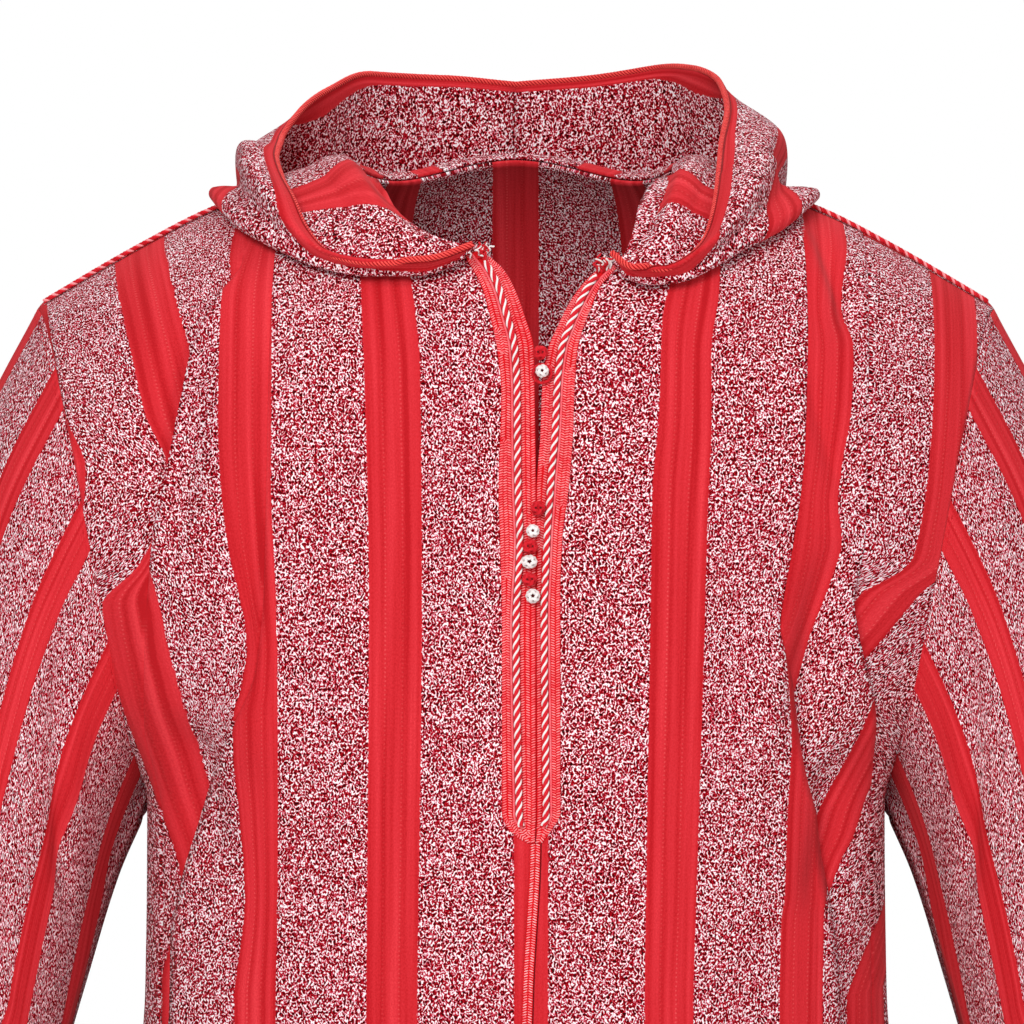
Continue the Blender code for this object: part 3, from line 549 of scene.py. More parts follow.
sleeveForm = {
    # along, outer x, outer drop, inner x, inner drop, half depth, y of the middle
    "rows": [
        (0.00, 0.235, 0.062, 0.182, 0.310, 0.070, 0.004),
        (0.12, 0.262, 0.115, 0.197, 0.345, 0.070, 0.003),
        (0.30, 0.290, 0.205, 0.212, 0.395, 0.066, -0.001),
        (0.50, 0.315, 0.315, 0.229, 0.455, 0.060, -0.006),
        (0.70, 0.336, 0.425, 0.246, 0.520, 0.054, -0.012),
        (0.85, 0.350, 0.515, 0.258, 0.580, 0.048, -0.016),
        (1.00, 0.360, 0.600, 0.268, 0.640, 0.042, -0.020),
    ],
    "rings": 150,
    "crowding": 1.1,    # rings lie closer near the armhole
    "outline": 0.6,     # share of the sleeve over which the armhole's outline dies away
    "plain": 0.08,      # and over which the creases come in
    # along at both ends, angle from the top towards the front at both ends in turns, half width, height
    "creases": [
        (0.02, 0.30, 0.20, 0.36, 0.030, -5 * mm), (0.05, 0.42, 0.33, 0.22, 0.034, 4 * mm),
        (0.38, 0.56, 0.16, 0.34, 0.030, -6 * mm), (0.42, 0.62, 0.30, 0.12, 0.028, 4 * mm),
        (0.46, 0.60, 0.40, 0.22, 0.026, -4 * mm), (0.03, 0.34, 0.70, 0.60, 0.034, -5 * mm),
        (0.40, 0.58, 0.80, 0.62, 0.030, -6 * mm), (0.44, 0.66, 0.64, 0.84, 0.030, 4 * mm),
        (0.64, 1.30, 0.24, 0.20, 0.040, -4 * mm), (0.62, 1.30, 0.72, 0.78, 0.044, -4 * mm),
    ],
}


def sleeveRing(side, along):
    rows = sleeveForm["rows"]
    outer = np.array([side * smooth(rows, along, 1), 0.0, -smooth(rows, along, 2)])
    inner = np.array([side * smooth(rows, along, 3), 0.0, -smooth(rows, along, 4)])
    middle = (outer + inner) / 2 + np.array([0.0, smooth(rows, along, 6), 0.0])
    return middle, (outer - inner) / 2, smooth(rows, along, 5)


def sleevePanel(side, frontEdge, backEdge):
    loop = np.concatenate([frontEdge, backEdge[-2:0:-1]])
    middle, half, depth = sleeveRing(side, 0.0)
    cosine = np.clip((loop - middle) @ half / (half @ half), -1, 1)
    sine = np.sqrt(np.clip(1 - cosine ** 2, 0, 1)) * np.where(loop[:, 1] > form["ridgeY"], 1, -1)
    first = middle + np.outer(cosine, half) + np.outer(sine, [0.0, depth, 0.0])
    rings = []
    for ring in range(sleeveForm["rings"] + 1):
        along = (ring / sleeveForm["rings"]) ** sleeveForm["crowding"]
        middle, half, depth = sleeveRing(side, along)
        places = middle + np.outer(cosine, half) + np.outer(sine, [0.0, depth, 0.0])
        rings.append(places + (loop - first) * (1 - min(along / sleeveForm["outline"], 1.0)) ** 2)
    grid = np.array(rings)
    around = np.roll(grid, -1, axis=1) - np.roll(grid, 1, axis=1)
    normals = unit(np.cross(around, np.gradient(grid, axis=0)))
    centre = grid.mean(axis=1, keepdims=True)
    if np.sum(normals * (grid - centre), axis=2).mean() < 0:
        normals = -normals
    steps = np.linalg.norm(np.diff(np.concatenate([grid, grid[:, :1]], axis=1), axis=1), axis=2)
    around = np.concatenate([np.zeros((len(grid), 1)), np.cumsum(steps, axis=1)], axis=1)
    turn = around[:, :-1] / around[:, -1:]
    along = (np.arange(len(grid)) / sleeveForm["rings"])[:, None] ** sleeveForm["crowding"]
    height = 0 * turn
    for start, end, turn1, turn2, half, depth in sleeveForm["creases"]:
        t = (along - start) / (end - start)
        height = height + depth * creaseEnds(t) * np.exp(-((turn - mix(turn1, turn2, t)) / half) ** 2)
    grid = grid + normals * (height * ramp(along, 0.0, sleeveForm["plain"]))[..., None]
    steps = np.linalg.norm(np.diff(grid, axis=0), axis=2)
    down = np.concatenate([np.zeros((1, grid.shape[1])), np.cumsum(steps, axis=0)])
    down = np.concatenate([down, down[:, :1]], axis=1)
    # the stripes run down the sleeve, one of them along its top
    width = around[0, -1]
    u = (turn - turn[:1, :1]) * width
    u = np.concatenate([u, u[:, :1] + width], axis=1)
    return grid, np.stack([u, down], -1)


hoodForm = {
    "lift": 5.6 * mm, "backLift": 2.5 * mm, "roll": 3.0 * mm, "rollLength": 25 * mm, "liftLength": 8 * mm,
    "fold": 4.0 * mm, "frontFold": 2.4 * mm, "bulgePeak": 1.73,
    "crowding": 1.4,            # lines lie closer at the shoulder and the neckline
    "stations": 130, "under": 40, "turn": 10, "outer": 64,
    "thickness": 1.6 * mm,
    "seat": 2 * mm + 0.3 * mm,  # the neckline's end above the body's cloth
    "seatFront": 1.5 * mm,      # and so much more at the V
    "crown": 2.1,               # over the shoulder the bulge is nearer the rim
    "hang": (0.38, 0.66),       # and lower down beyond these stations
    "shoulderFold": 2.7 * mm, "shoulderLift": 5.0 * mm,
    "shoulderReach": 0.22,      # how far in stations the shoulder's own values go
    # there the cloth is pinched in above the fold: share of the way to the rim, half width, in and down
    "pinch": (0.34, 0.20, 5 * mm, 5 * mm),
    "asideX": 0.02 * mm,        # each half stays clear of the middle seam
    # stations between which these come in: the V's seat, the back's lift, the roll and the full fold
    "seatFrom": (-0.6, -0.9), "backFrom": (0.1, 0.4), "rollFrom": (-0.9, -0.4), "foldFrom": (-0.6, -0.1),
    "straight": 0.9,            # past this share the under layer runs straight into the fold
    # for stations from the V top (-1) over the shoulder (0) to the nape (1): x and drop of the lower fold,
    # x, y and height of the rim, and how far the outer layer bulges out and up, in mm
    "right": [
        (-1.00, 28, 52, 20.5, -119, -40, 1, 0), (-0.85, 46, 57, 42, -124, -47, 1, 0),
        (-0.65, 70, 57, 66, -123, -48, 2, 1), (-0.45, 93, 53, 87.5, -115, -44, 3, 2),
        (-0.30, 110, 46, 100, -100, -31, 6, 4), (-0.15, 130, 35, 107, -84, -16, 7, 8),
        (0.00, 147, 17, 114, -58, -3, 8, 11), (0.15, 146, 35, 118, -28, 9.5, 11, 16),
        (0.35, 138, 82, 117, 6, 20, 17, 15), (0.50, 125, 130, 109, 38, 36, 34, 13),
        (0.65, 102, 180, 94, 68, 50, 34, 7), (0.80, 70, 228, 73, 98, 60, 42, 4),
        (0.90, 36, 265, 40, 118, 60, 45, 2), (1.00, 0, 285, 0, 124, 57, 46, 2),
    ],
    "left": [
        (-1.00, 51, 58, 45, -120, -44, 1, 0), (-0.85, 62, 61, 56, -126, -51, 1, 0),
        (-0.65, 76, 60, 69, -123, -51, 2, 1), (-0.45, 91, 54, 84, -117, -43.5, 4, 3),
        (-0.30, 105, 46, 91, -104, -34, 8, 5), (-0.15, 124, 36, 95.5, -89, -19, 9, 8),
        (0.00, 145, 18, 98.5, -63, -3, 10, 12), (0.15, 144, 35, 101.5, -28, 15, 17, 17),
        (0.35, 138, 82, 106, 14, 37, 22, 15), (0.50, 123, 130, 103, 48, 52, 24, 10),
        (0.65, 100, 180, 91, 76, 61, 33, 6), (0.80, 68, 228, 75, 102, 64, 40, 4),
        (0.90, 35, 265, 40, 119, 60, 44, 2), (1.00, 0, 285, 0, 124, 57, 46, 2),
    ],
    # how far the stripes are moved towards the rim, in mm, by the share of the way from the neckline to it
    "shift": {
        "right": [(0.0, -34.0), (0.25, -21.0), (0.45, -14.0), (0.70, -9.0), (1.0, 0.0)],
        "left": [(0.0, -8.0), (0.40, 0.0), (0.60, 13.0), (0.80, 11.0), (0.95, 2.0), (1.0, 0.0)],
    },
    "shiftFrom": (-0.60, -0.20), "shiftTo": (0.30, 0.75),
    "even": (0.15, 0.55),
    "square": (-0.80, -0.15),   # stations between which the cloth goes over from square to round its corner
    "slope": [(-1.0, 2.0), (0.0, 2.0), (0.5, 3.5), (1.0, 6.0)],  # how square the flat cloth's corner is
}


def hoodPanel(name):
    # from the neckline out along the body, round the lower fold and back up to the rim
    side = sides[name]
    table = hoodForm[name]
    lines, stations = [], []
    middle, half, inward, sunk = hoodForm["pinch"]
    for station in range(hoodForm["stations"] + 1):
        spread = -1 + 2 * station / hoodForm["stations"]
        t = abs(spread) ** hoodForm["crowding"] * (1 if spread > 0 else -1)
        sign = 1 if t > 0 else -1
        startX, startGirth = neckline(name, t)
        foldX = float(smooth(table, t, 1)) * mm
        foldGirth = float(girthAt(foldX, float(smooth(table, t, 2)) * mm, t > 0)) * sign
        rim = np.array([side * smooth(table, t, 3), smooth(table, t, 4), smooth(table, t, 5)]) * mm
        seat = hoodForm["seat"] + hoodForm["seatFront"] * ramp(t, *hoodForm["seatFrom"])
        share = (np.arange(hoodForm["under"] + 1) / hoodForm["under"]) ** hoodForm["crowding"]
        x = mix(startX, foldX, share)
        girth = mix(startGirth, foldGirth, share)
        places = bodyPoint(side, x, girth)
        length = np.linalg.norm(places - places[0], axis=1)
        here = math.exp(-(t / hoodForm["shoulderReach"]) ** 2)
        high = mix(hoodForm["lift"], hoodForm["shoulderLift"], here)
        high = high + hoodForm["backLift"] * ramp(t, *hoodForm["backFrom"])
        lift = mix(seat, high, ease(length / hoodForm["liftLength"]))
        rolled = np.sin(math.pi * np.clip(length / hoodForm["rollLength"], 0, 1))
        lift = lift + hoodForm["roll"] * rolled * ramp(t, *hoodForm["rollFrom"])
        line = list(places + bodyNormal(side, x, girth) * lift[:, None])
        normal = bodyNormal(side, np.array(foldX), np.array(foldGirth))
        out = line[-1] - line[-2]
        out = unit(out - normal * np.dot(out, normal))
        radius = mix(hoodForm["frontFold"], hoodForm["fold"], ramp(t, *hoodForm["foldFrom"]))
        radius = mix(radius, hoodForm["shoulderFold"], here)
        near = int(hoodForm["under"] * hoodForm["straight"])
        base = line[-1] - out * radius
        line[near:] = [mix(line[near], base, k) for k in np.linspace(0, 1, hoodForm["under"] + 1 - near)]
        for k in range(1, hoodForm["turn"] + 1):
            angle = math.pi * k / (hoodForm["turn"] + 1)
            line.append(base + out * radius * math.sin(angle) + normal * radius * (1 - math.cos(angle)))
        high = base + normal * 2 * radius
        radial = (high + rim) / 2 * np.array([1.0, 1.0, 0.0])
        bulge = unit(radial) * smooth(table, t, 6) * mm + np.array([0.0, 0.0, smooth(table, t, 7) * mm])
        hanging = ramp(t, *hoodForm["hang"])
        pinch = (unit(radial) * inward + np.array([0.0, 0.0, sunk])) * here
        for k in range(hoodForm["outer"] + 1):
            share = k / hoodForm["outer"]
            low = math.sin(math.pi * share) * (1 - share) * hoodForm["bulgePeak"]
            full = mix(math.sin(math.pi * share ** hoodForm["crown"]), low, hanging)
            pinched = math.exp(-((share - middle) / half) ** 2) * math.sin(math.pi * share)
            line.append(mix(high, rim, share) + bulge * full - pinch * pinched)
        lines.append(line)
        stations.append(t)
    grid = np.array(lines)
    grid[:, :, 0] += side * hoodForm["asideX"]
    stations = np.array(stations)
    # the flat half of the hood has its stripes along the rim
    steps = np.linalg.norm(np.diff(grid, axis=1), axis=2)
    length = np.concatenate([np.zeros((len(grid), 1)), np.cumsum(steps, axis=1)], axis=1)
    w = length / length[:, -1:]
    neckArc, rimArc = runLength(grid[:, 0])[:, None], runLength(grid[:, -1])[:, None]
    power = 2 / smooth(hoodForm["slope"], stations)[:, None]
    # the cloth's lines go round the corner of the flat half; at the back they are followed by their length
    fine = np.linspace(0, math.pi / 2, 400)
    angle = w * math.pi / 2
    for row, t in enumerate(stations):
        lineX = neckArc[row] * np.cos(fine).clip(0) ** power[row]
        lineY = rimArc[row] * np.sin(fine) ** power[row]
        run = runLength(np.stack([lineX, lineY], -1))
        even = np.interp(w[row] * run[-1], run, fine)
        angle[row] = mix(angle[row], even, ramp(t, *hoodForm["even"]))
    fromRim = neckArc * np.clip(np.cos(angle), 0, 1) ** power
    high = rimArc * np.clip(np.sin(angle), 0, 1) ** power
    fade = ramp(stations, *hoodForm["shiftFrom"]) * (1 - ramp(stations, *hoodForm["shiftTo"]))
    fromRim = fromRim + smooth(hoodForm["shift"][name], w) * mm * fade[:, None]
    # its front end is cut square
    deep = ramp(stations, *hoodForm["square"])[:, None]
    fromRim = mix(length[:, -1:] * (1 - w), fromRim, deep)
    high = mix(mix(neckArc, rimArc, w), high, deep)
    return grid, np.stack([side * fromRim, high], -1)


def addNode(tree, kind, inputs=None, **settings):
    # a node with its settings, and its inputs set to values or linked to sockets
    made = tree.nodes.new(kind)
    for key, value in settings.items():
        setattr(made, key, value)
    for key, value in (inputs or {}).items():
        socket = made.inputs[key]
        if isinstance(value, bpy.types.NodeSocket):
            tree.links.new(value, socket)
        else:
            socket.default_value = value
    return made


def output(tree, kind, inputs=None, **settings):
    return addNode(tree, kind, inputs, **settings).outputs[0]


def math1(tree, operation, *values):
    return output(tree, "ShaderNodeMath", dict(enumerate(values)), operation=operation)


def mapRange(tree, value, low, high, toLow=0.0, toHigh=1.0):
    inputs = {"Value": value, "From Min": low, "From Max": high, "To Min": toLow, "To Max": toHigh}
    return output(tree, "ShaderNodeMapRange", inputs)


def spread(tree, noisy, low, high):
    # most of a noise lies between 0.3 and 0.7
    return mapRange(tree, noisy, 0.3, 0.7, low, high)


def blendColours(tree, share, first, second):
    # sockets 0, 6 and 7 of the node are its share and its two colours
    return addNode(tree, "ShaderNodeMix", {0: share, 6: first, 7: second}, data_type="RGBA").outputs[2]


def scaled(tree, vector, scale, offset=(0, 0, 0)):
    inputs = {"Vector": vector, "Scale": scale, "Location": offset}
    return output(tree, "ShaderNodeMapping", inputs)


def noise(tree, vector, scale=1.0, detail=2.0, roughness=0.5, distortion=0.0):
    inputs = {"Vector": vector, "Scale": scale, "Detail": detail, "Roughness": roughness}
    inputs["Distortion"] = distortion
    return output(tree, "ShaderNodeTexNoise", inputs)


def colourRamp(tree, value, stops):
    made = addNode(tree, "ShaderNodeValToRGB", {0: value})
    ramp = made.color_ramp
    while len(ramp.elements) < len(stops):
        ramp.elements.new(0.5)
    for element, (place, colour) in zip(ramp.elements, stops):
        element.position = place
        element.color = linear(colour)
    return made.outputs[0]


def linear(colour):
    # a colour in linear light from its usual 0 to 255 values
    values = [c / 255 for c in colour]
    return (*(c / 12.92 if c <= 0.04045 else ((c + 0.055) / 1.055) ** 2.4 for c in values), 1.0)


def newGroup(name, inputs, outputs):
    tree = bpy.data.node_groups.new(name, "ShaderNodeTree")
    kinds = {"f": "NodeSocketFloat", "v": "NodeSocketVector", "c": "NodeSocketColor"}
    for label, kind, value in inputs:
        socket = tree.interface.new_socket(name=label, in_out="INPUT", socket_type=kinds[kind])
        if value is not None:
            socket.default_value = value
    for label, kind in outputs:
        tree.interface.new_socket(name=label, in_out="OUTPUT", socket_type=kinds[kind])
    return tree, tree.nodes.new("NodeGroupInput").outputs, tree.nodes.new("NodeGroupOutput")


def useGroup(tree, group, inputs):
    return addNode(tree, "ShaderNodeGroup", inputs, node_tree=group).outputs


# ramps are rows of place and colour; colours are 0 to 255
yarnColours = {
    "flecks": [
        (0.35, (28, 0, 0)), (0.41, (142, 0, 10)), (0.475, (190, 6, 26)),
        (0.508, (222, 112, 142)), (0.555, (252, 250, 252)),
    ],
    "cloud": (205, 40, 62),
    "red": [
        (0.0, (188, 26, 34)), (0.35, (207, 40, 48)), (0.65, (217, 48, 57)), (1.0, (233, 62, 70)),
    ],
    "dots": (248, 104, 104),
    "dotPitch": 0.0021,
    "dotLines": (-4.6, 3.4),    # mm from the stripe's middle
    # how fine each noise is: its cells to a metre across, down and out of the cloth
    "raggedScale": (300, 900, 0), "fleckScale": (600, 470, 470), "finerScale": (1080, 780, 780),
    "cloudScale": (60, 30, 30), "streakScale": (260, 5, 0), "threadScale": (1300, 900, 0),
    "ragged": 0.45,             # how far a stripe's edge strays, in mm
    "softEdge": 0.25,           # and half the width over which it changes colour
    "roughness": 0.88, "specular": 0.06, "sheen": 0.03, "sheenRoughness": 0.5,
    "bump": 0.35, "bumpDepth": 0.0012,
}


def stripeGroup():
    # 1 on a red stripe, 0 between, and the signed distance from the nearest stripe's middle in mm
    given = [("Cloth", "v", None), ("Period mm", "f", None), ("Half mm", "f", None)]
    tree, source, out = newGroup("stripes", given, [("Mask", "f"), ("Offset", "f")])
    place = output(tree, "ShaderNodeSeparateXYZ", {0: source["Cloth"]})
    millimetres = math1(tree, "MULTIPLY", place, 1000.0)
    stray = yarnColours["ragged"]
    ragged = noise(tree, scaled(tree, source["Cloth"], yarnColours["raggedScale"]), detail=1)
    millimetres = math1(tree, "ADD", millimetres, mapRange(tree, ragged, 0, 1, -stray, stray))
    half = math1(tree, "MULTIPLY", source["Period mm"], 0.5)
    offset = math1(tree, "WRAP", millimetres, half, math1(tree, "MULTIPLY", half, -1.0))
    distance = math1(tree, "ABSOLUTE", offset)
    inner = math1(tree, "SUBTRACT", source["Half mm"], yarnColours["softEdge"])
    outer = math1(tree, "ADD", source["Half mm"], yarnColours["softEdge"])
    tree.links.new(mapRange(tree, distance, outer, inner), out.inputs["Mask"])
    tree.links.new(offset, out.inputs["Offset"])
    return tree


def heatherGroup():
    # short curling flecks of white and pink yarn on a deep red ground, drawn out along the warp
    tree, source, out = newGroup("heather", [("Cloth", "v", None)], [("Color", "c"), ("Height", "f")])
    curls = noise(tree, scaled(tree, source["Cloth"], yarnColours["fleckScale"]), detail=0.4, distortion=0.4)
    finer = scaled(tree, source["Cloth"], yarnColours["finerScale"], (3, 7, 0))
    broken = noise(tree, finer, detail=1.0, roughness=0.6)
    line = math1(tree, "MINIMUM", math1(tree, "ABSOLUTE", math1(tree, "SUBTRACT", curls, 0.5)), 0.13)
    value = math1(tree, "MULTIPLY_ADD", line, -1.25, 0.56)
    value = math1(tree, "ADD", value, mapRange(tree, broken, 0.25, 0.75, -0.15, 0.15))
    colour = colourRamp(tree, value, yarnColours["flecks"])
    cloudy = noise(tree, scaled(tree, source["Cloth"], yarnColours["cloudScale"], (1, 2, 0)), detail=3)
    cloudy = mapRange(tree, cloudy, 0.4, 0.75, 0.0, 0.10)
    colour = blendColours(tree, cloudy, colour, linear(yarnColours["cloud"]))
    tree.links.new(colour, out.inputs["Color"])
    tree.links.new(value, out.inputs["Height"])
    return tree


def redGroup():
    # the plain red stripes: soft bands and streaks down the warp, and two dotted lines
    given = [("Cloth", "v", None), ("Offset", "f", 0.0)]
    tree, source, out = newGroup("red stripes", given, [("Color", "c"), ("Height", "f")])
    streaks = noise(tree, scaled(tree, source["Cloth"], yarnColours["streakScale"]), detail=2)
    threads = noise(tree, scaled(tree, source["Cloth"], yarnColours["threadScale"], (5, 1, 0)), detail=1)
    bands = math1(tree, "SINE", math1(tree, "MULTIPLY_ADD", source["Offset"], 0.78, 0.9))
    value = spread(tree, streaks, 0.0, 0.8)
    value = math1(tree, "ADD", value, spread(tree, threads, -0.15, 0.15))
    value = math1(tree, "ADD", value, math1(tree, "MULTIPLY", bands, 0.18))
    colour = colourRamp(tree, value, yarnColours["red"])
    down = addNode(tree, "ShaderNodeSeparateXYZ", {0: source["Cloth"]}).outputs[1]
    dots = math1(tree, "MULTIPLY", down, 2 * math.pi / yarnColours["dotPitch"])
    dots = mapRange(tree, math1(tree, "SINE", dots), 0.1, 0.7)
    for middle in yarnColours["dotLines"]:
        line = math1(tree, "ABSOLUTE", math1(tree, "SUBTRACT", source["Offset"], middle))
        here = math1(tree, "MULTIPLY", mapRange(tree, line, 0.55, 0.15), dots)
        here = math1(tree, "MULTIPLY", here, mapRange(tree, streaks, 0.42, 0.62, 0.1, 0.42))
        colour = blendColours(tree, here, colour, linear(yarnColours["dots"]))
    tree.links.new(colour, out.inputs["Color"])
    height = math1(tree, "MULTIPLY_ADD", threads, 0.5, math1(tree, "MULTIPLY", streaks, 0.6))
    tree.links.new(height, out.inputs["Height"])
    return tree


groups = {"stripes": stripeGroup(), "heather": heatherGroup(), "red": redGroup()}


def newMaterial(name):
    material = bpy.data.materials.new(name)
    material.use_nodes = True
    tree = material.node_tree
    return material, tree, tree.nodes["Principled BSDF"]


def addBump(tree, shader, height, strength, depth):
    bump = addNode(tree, "ShaderNodeBump", {"Height": height, "Strength": strength, "Distance": depth})
    tree.links.new(bump.outputs[0], shader.inputs["Normal"])


def finishShader(shader, roughness, specular, sheen):
    shader.inputs["Roughness"].default_value = roughness
    shader.inputs["Specular IOR Level"].default_value = specular
    shader.inputs["Sheen Weight"].default_value = sheen


def stripedCloth(name, evenFlecks=False):
    material, tree, shader = newMaterial(name)
    place = output(tree, "ShaderNodeUVMap", uv_map="cloth")
    sizes = {"Period mm": cloth["period"] / mm, "Half mm": cloth["halfRed"] / mm}
    stripes = useGroup(tree, groups["stripes"], {"Cloth": place, **sizes})
    # where the cloth is rolled and folded over, flecks laid out in space keep their size
    flecks = addNode(tree, "ShaderNodeTexCoord").outputs["Object"] if evenFlecks else place
    heather = useGroup(tree, groups["heather"], {"Cloth": flecks})
    red = useGroup(tree, groups["red"], {"Cloth": place, "Offset": stripes["Offset"]})
    colour = blendColours(tree, stripes["Mask"], heather["Color"], red["Color"])
    tree.links.new(colour, shader.inputs["Base Color"])
    between = math1(tree, "SUBTRACT", 1.0, stripes["Mask"])
    height = math1(tree, "ADD", math1(tree, "MULTIPLY", heather["Height"], between),
                   math1(tree, "MULTIPLY", red["Height"], stripes["Mask"]))
    addBump(tree, shader, height, yarnColours["bump"], yarnColours["bumpDepth"])
    finishShader(shader, yarnColours["roughness"], yarnColours["specular"], yarnColours["sheen"])
    shader.inputs["Sheen Roughness"].default_value = yarnColours["sheenRoughness"]
    return material


def sheetMesh(name, grid, uv, tube=False):
    # a mesh of one surface from a grid of points, with its cloth coordinates as a UV map
    rows, columns = grid.shape[:2]
    points = grid.reshape(-1, 3)
    spans = columns if tube else columns - 1
    j, i = np.meshgrid(np.arange(rows - 1), np.arange(spans), indexing="ij")
    k = (i + 1) % columns

    def squares(wide, left, right):
        top, low = j * wide, (j + 1) * wide
        return np.stack([top + left, top + right, low + right, low + left], -1)

    faces = squares(columns, i, k).reshape(-1, 4)
    corners = squares(uv.shape[1], i, i + 1)
    mesh = bpy.data.meshes.new(name)
    mesh.from_pydata(points.tolist(), [], faces.tolist())
    layer = mesh.uv_layers.new(name="cloth")
    layer.data.foreach_set("uv", uv.reshape(-1, 2)[corners.reshape(-1)].astype(np.float32).reshape(-1))
    mesh.shade_smooth()
    mesh.update()
    return mesh


def addPiece(name, mesh, material, slot, *nodes):
    # a material of None keeps the mesh's own ones
    if material:
        mesh.materials.clear()
        mesh.materials.append(material)
    piece = bpy.data.objects.new(name, mesh)
    bpy.context.scene.collection.objects.link(piece)
    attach(piece, "root")
    if nodes:
        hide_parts(*nodes)
    return piece


def thicken(piece, thickness, outward):
    # gives a sheet its thickness evenly to both sides, after turning it to face outward at its middle
    mesh = piece.data
    face = mesh.polygons[len(mesh.polygons) // 2]
    if face.normal.dot(Vector(outward(face.center))) < 0:
        mesh.flip_normals()
    solid = piece.modifiers.new("thickness", "SOLIDIFY")
    solid.thickness = thickness
    solid.offset = 0


threadFinish = {
    "fibre": 2600, "broad": 90,     # how fine the fibres and the broad changes are
    "byStitch": 0.28, "byFibre": (0.25, 0.75), "byPlace": 0.15,  # how much each changes the colour
    "places": (0.1, 0.75),          # of the deep and the light colour on the ramp
    "roughness": 0.75, "braidRoughness": 0.65, "specular": 0.15, "sheen": 0.04,
    "bump": 0.3, "bumpDepth": 0.0004,
}


def threadMaterial(name, light, deep, roughness=threadFinish["roughness"]):
    # thread that is a little lighter or deeper from stitch to stitch, with fine fibres
    material, tree, shader = newMaterial(name)
    place = addNode(tree, "ShaderNodeTexCoord").outputs["Object"]
    shade = addNode(tree, "ShaderNodeAttribute", attribute_name="shade").outputs["Fac"]
    fine = noise(tree, place, scale=threadFinish["fibre"], detail=1)
    broad = noise(tree, place, scale=threadFinish["broad"], detail=2)
    value = mapRange(tree, shade, 0, 1, -threadFinish["byStitch"], threadFinish["byStitch"])
    value = math1(tree, "ADD", value, spread(tree, fine, *threadFinish["byFibre"]))
    value = math1(tree, "ADD", value, spread(tree, broad, -threadFinish["byPlace"], threadFinish["byPlace"]))
    colour = colourRamp(tree, value, list(zip(threadFinish["places"], (deep, light))))
    tree.links.new(colour, shader.inputs["Base Color"])
    addBump(tree, shader, fine, threadFinish["bump"], threadFinish["bumpDepth"])
    finishShader(shader, roughness, threadFinish["specular"], threadFinish["sheen"])
    return material


smoother = threadFinish["braidRoughness"]
coralBraid = threadMaterial("coral red braid", (255, 162, 166), (252, 78, 92), smoother)
paleBraid = threadMaterial("pale coral braid", (255, 198, 200), (255, 92, 104), smoother)
coralGround = threadMaterial("braid ground", (250, 18, 36), (210, 2, 14))
rimThread = threadMaterial("hood rim braid", (252, 92, 86), (226, 36, 42), smoother)
# painted shade: a shaded copy of the rim thread for the rim braid's alternate plies, its core and the groove
# beside it
rimShade = threadMaterial("hood rim shade", (188, 10, 20), (132, 2, 10))
redThread = threadMaterial("red thread", (228, 36, 50), (180, 10, 24))
ivoryThread = threadMaterial("ivory thread", (255, 252, 250), (232, 214, 212), smoother)
# painted shade: used beside the centre braid, inside the white buttons and in the knots' holes
shadowThread = threadMaterial("thread in shadow", (116, 6, 14), (52, 0, 6))


def newTree(name, inputs):
    tree = bpy.data.node_groups.new(name, "GeometryNodeTree")
    kinds = {"f": "NodeSocketFloat", "i": "NodeSocketInt", "m": "NodeSocketMaterial"}
    tree.interface.new_socket(name="Geometry", in_out="INPUT", socket_type="NodeSocketGeometry")
    for label, kind in inputs:
        tree.interface.new_socket(name=label, in_out="INPUT", socket_type=kinds[kind])
    tree.interface.new_socket(name="Geometry", in_out="OUTPUT", socket_type="NodeSocketGeometry")
    return tree, tree.nodes.new("NodeGroupInput").outputs, tree.nodes.new("NodeGroupOutput")


def attribute(tree, name, kind="FLOAT_VECTOR"):
    return output(tree, "GeometryNodeInputNamedAttribute", {"Name": name}, data_type=kind)


def finishTree(tree, geometry, thread, out):
    real = output(tree, "GeometryNodeRealizeInstances", {0: geometry})
    soft = output(tree, "GeometryNodeSetShadeSmooth", {0: real})
    done = output(tree, "GeometryNodeSetMaterial", {"Geometry": soft, "Material": thread})
    tree.links.new(done, out.inputs[0])


def stitchesTree():
    # a rounded stitch on every point, lying along it and standing out from the cloth
    tree, given, out = newTree("stitches", [
        ("Length", "f"), ("Width", "f"), ("Height", "f"), ("Thread", "m"),
    ])
    bead = output(tree, "GeometryNodeMeshUVSphere", {"Segments": 6, "Rings": 4, "Radius": 0.5})
    size = {0: given["Width"], 1: given["Height"], 2: given["Length"]}
    size = output(tree, "ShaderNodeCombineXYZ", size)
    bead = output(tree, "GeometryNodeTransform", {"Geometry": bead, "Scale": size})
    axes = {0: attribute(tree, "along"), 1: attribute(tree, "out")}
    turn = output(tree, "FunctionNodeAxesToRotation", axes, primary_axis="Z", secondary_axis="Y")
    placed = {"Points": given["Geometry"], "Instance": bead, "Rotation": turn}
    placed = output(tree, "GeometryNodeInstanceOnPoints", placed)
    finishTree(tree, placed, given["Thread"], out)
    return tree


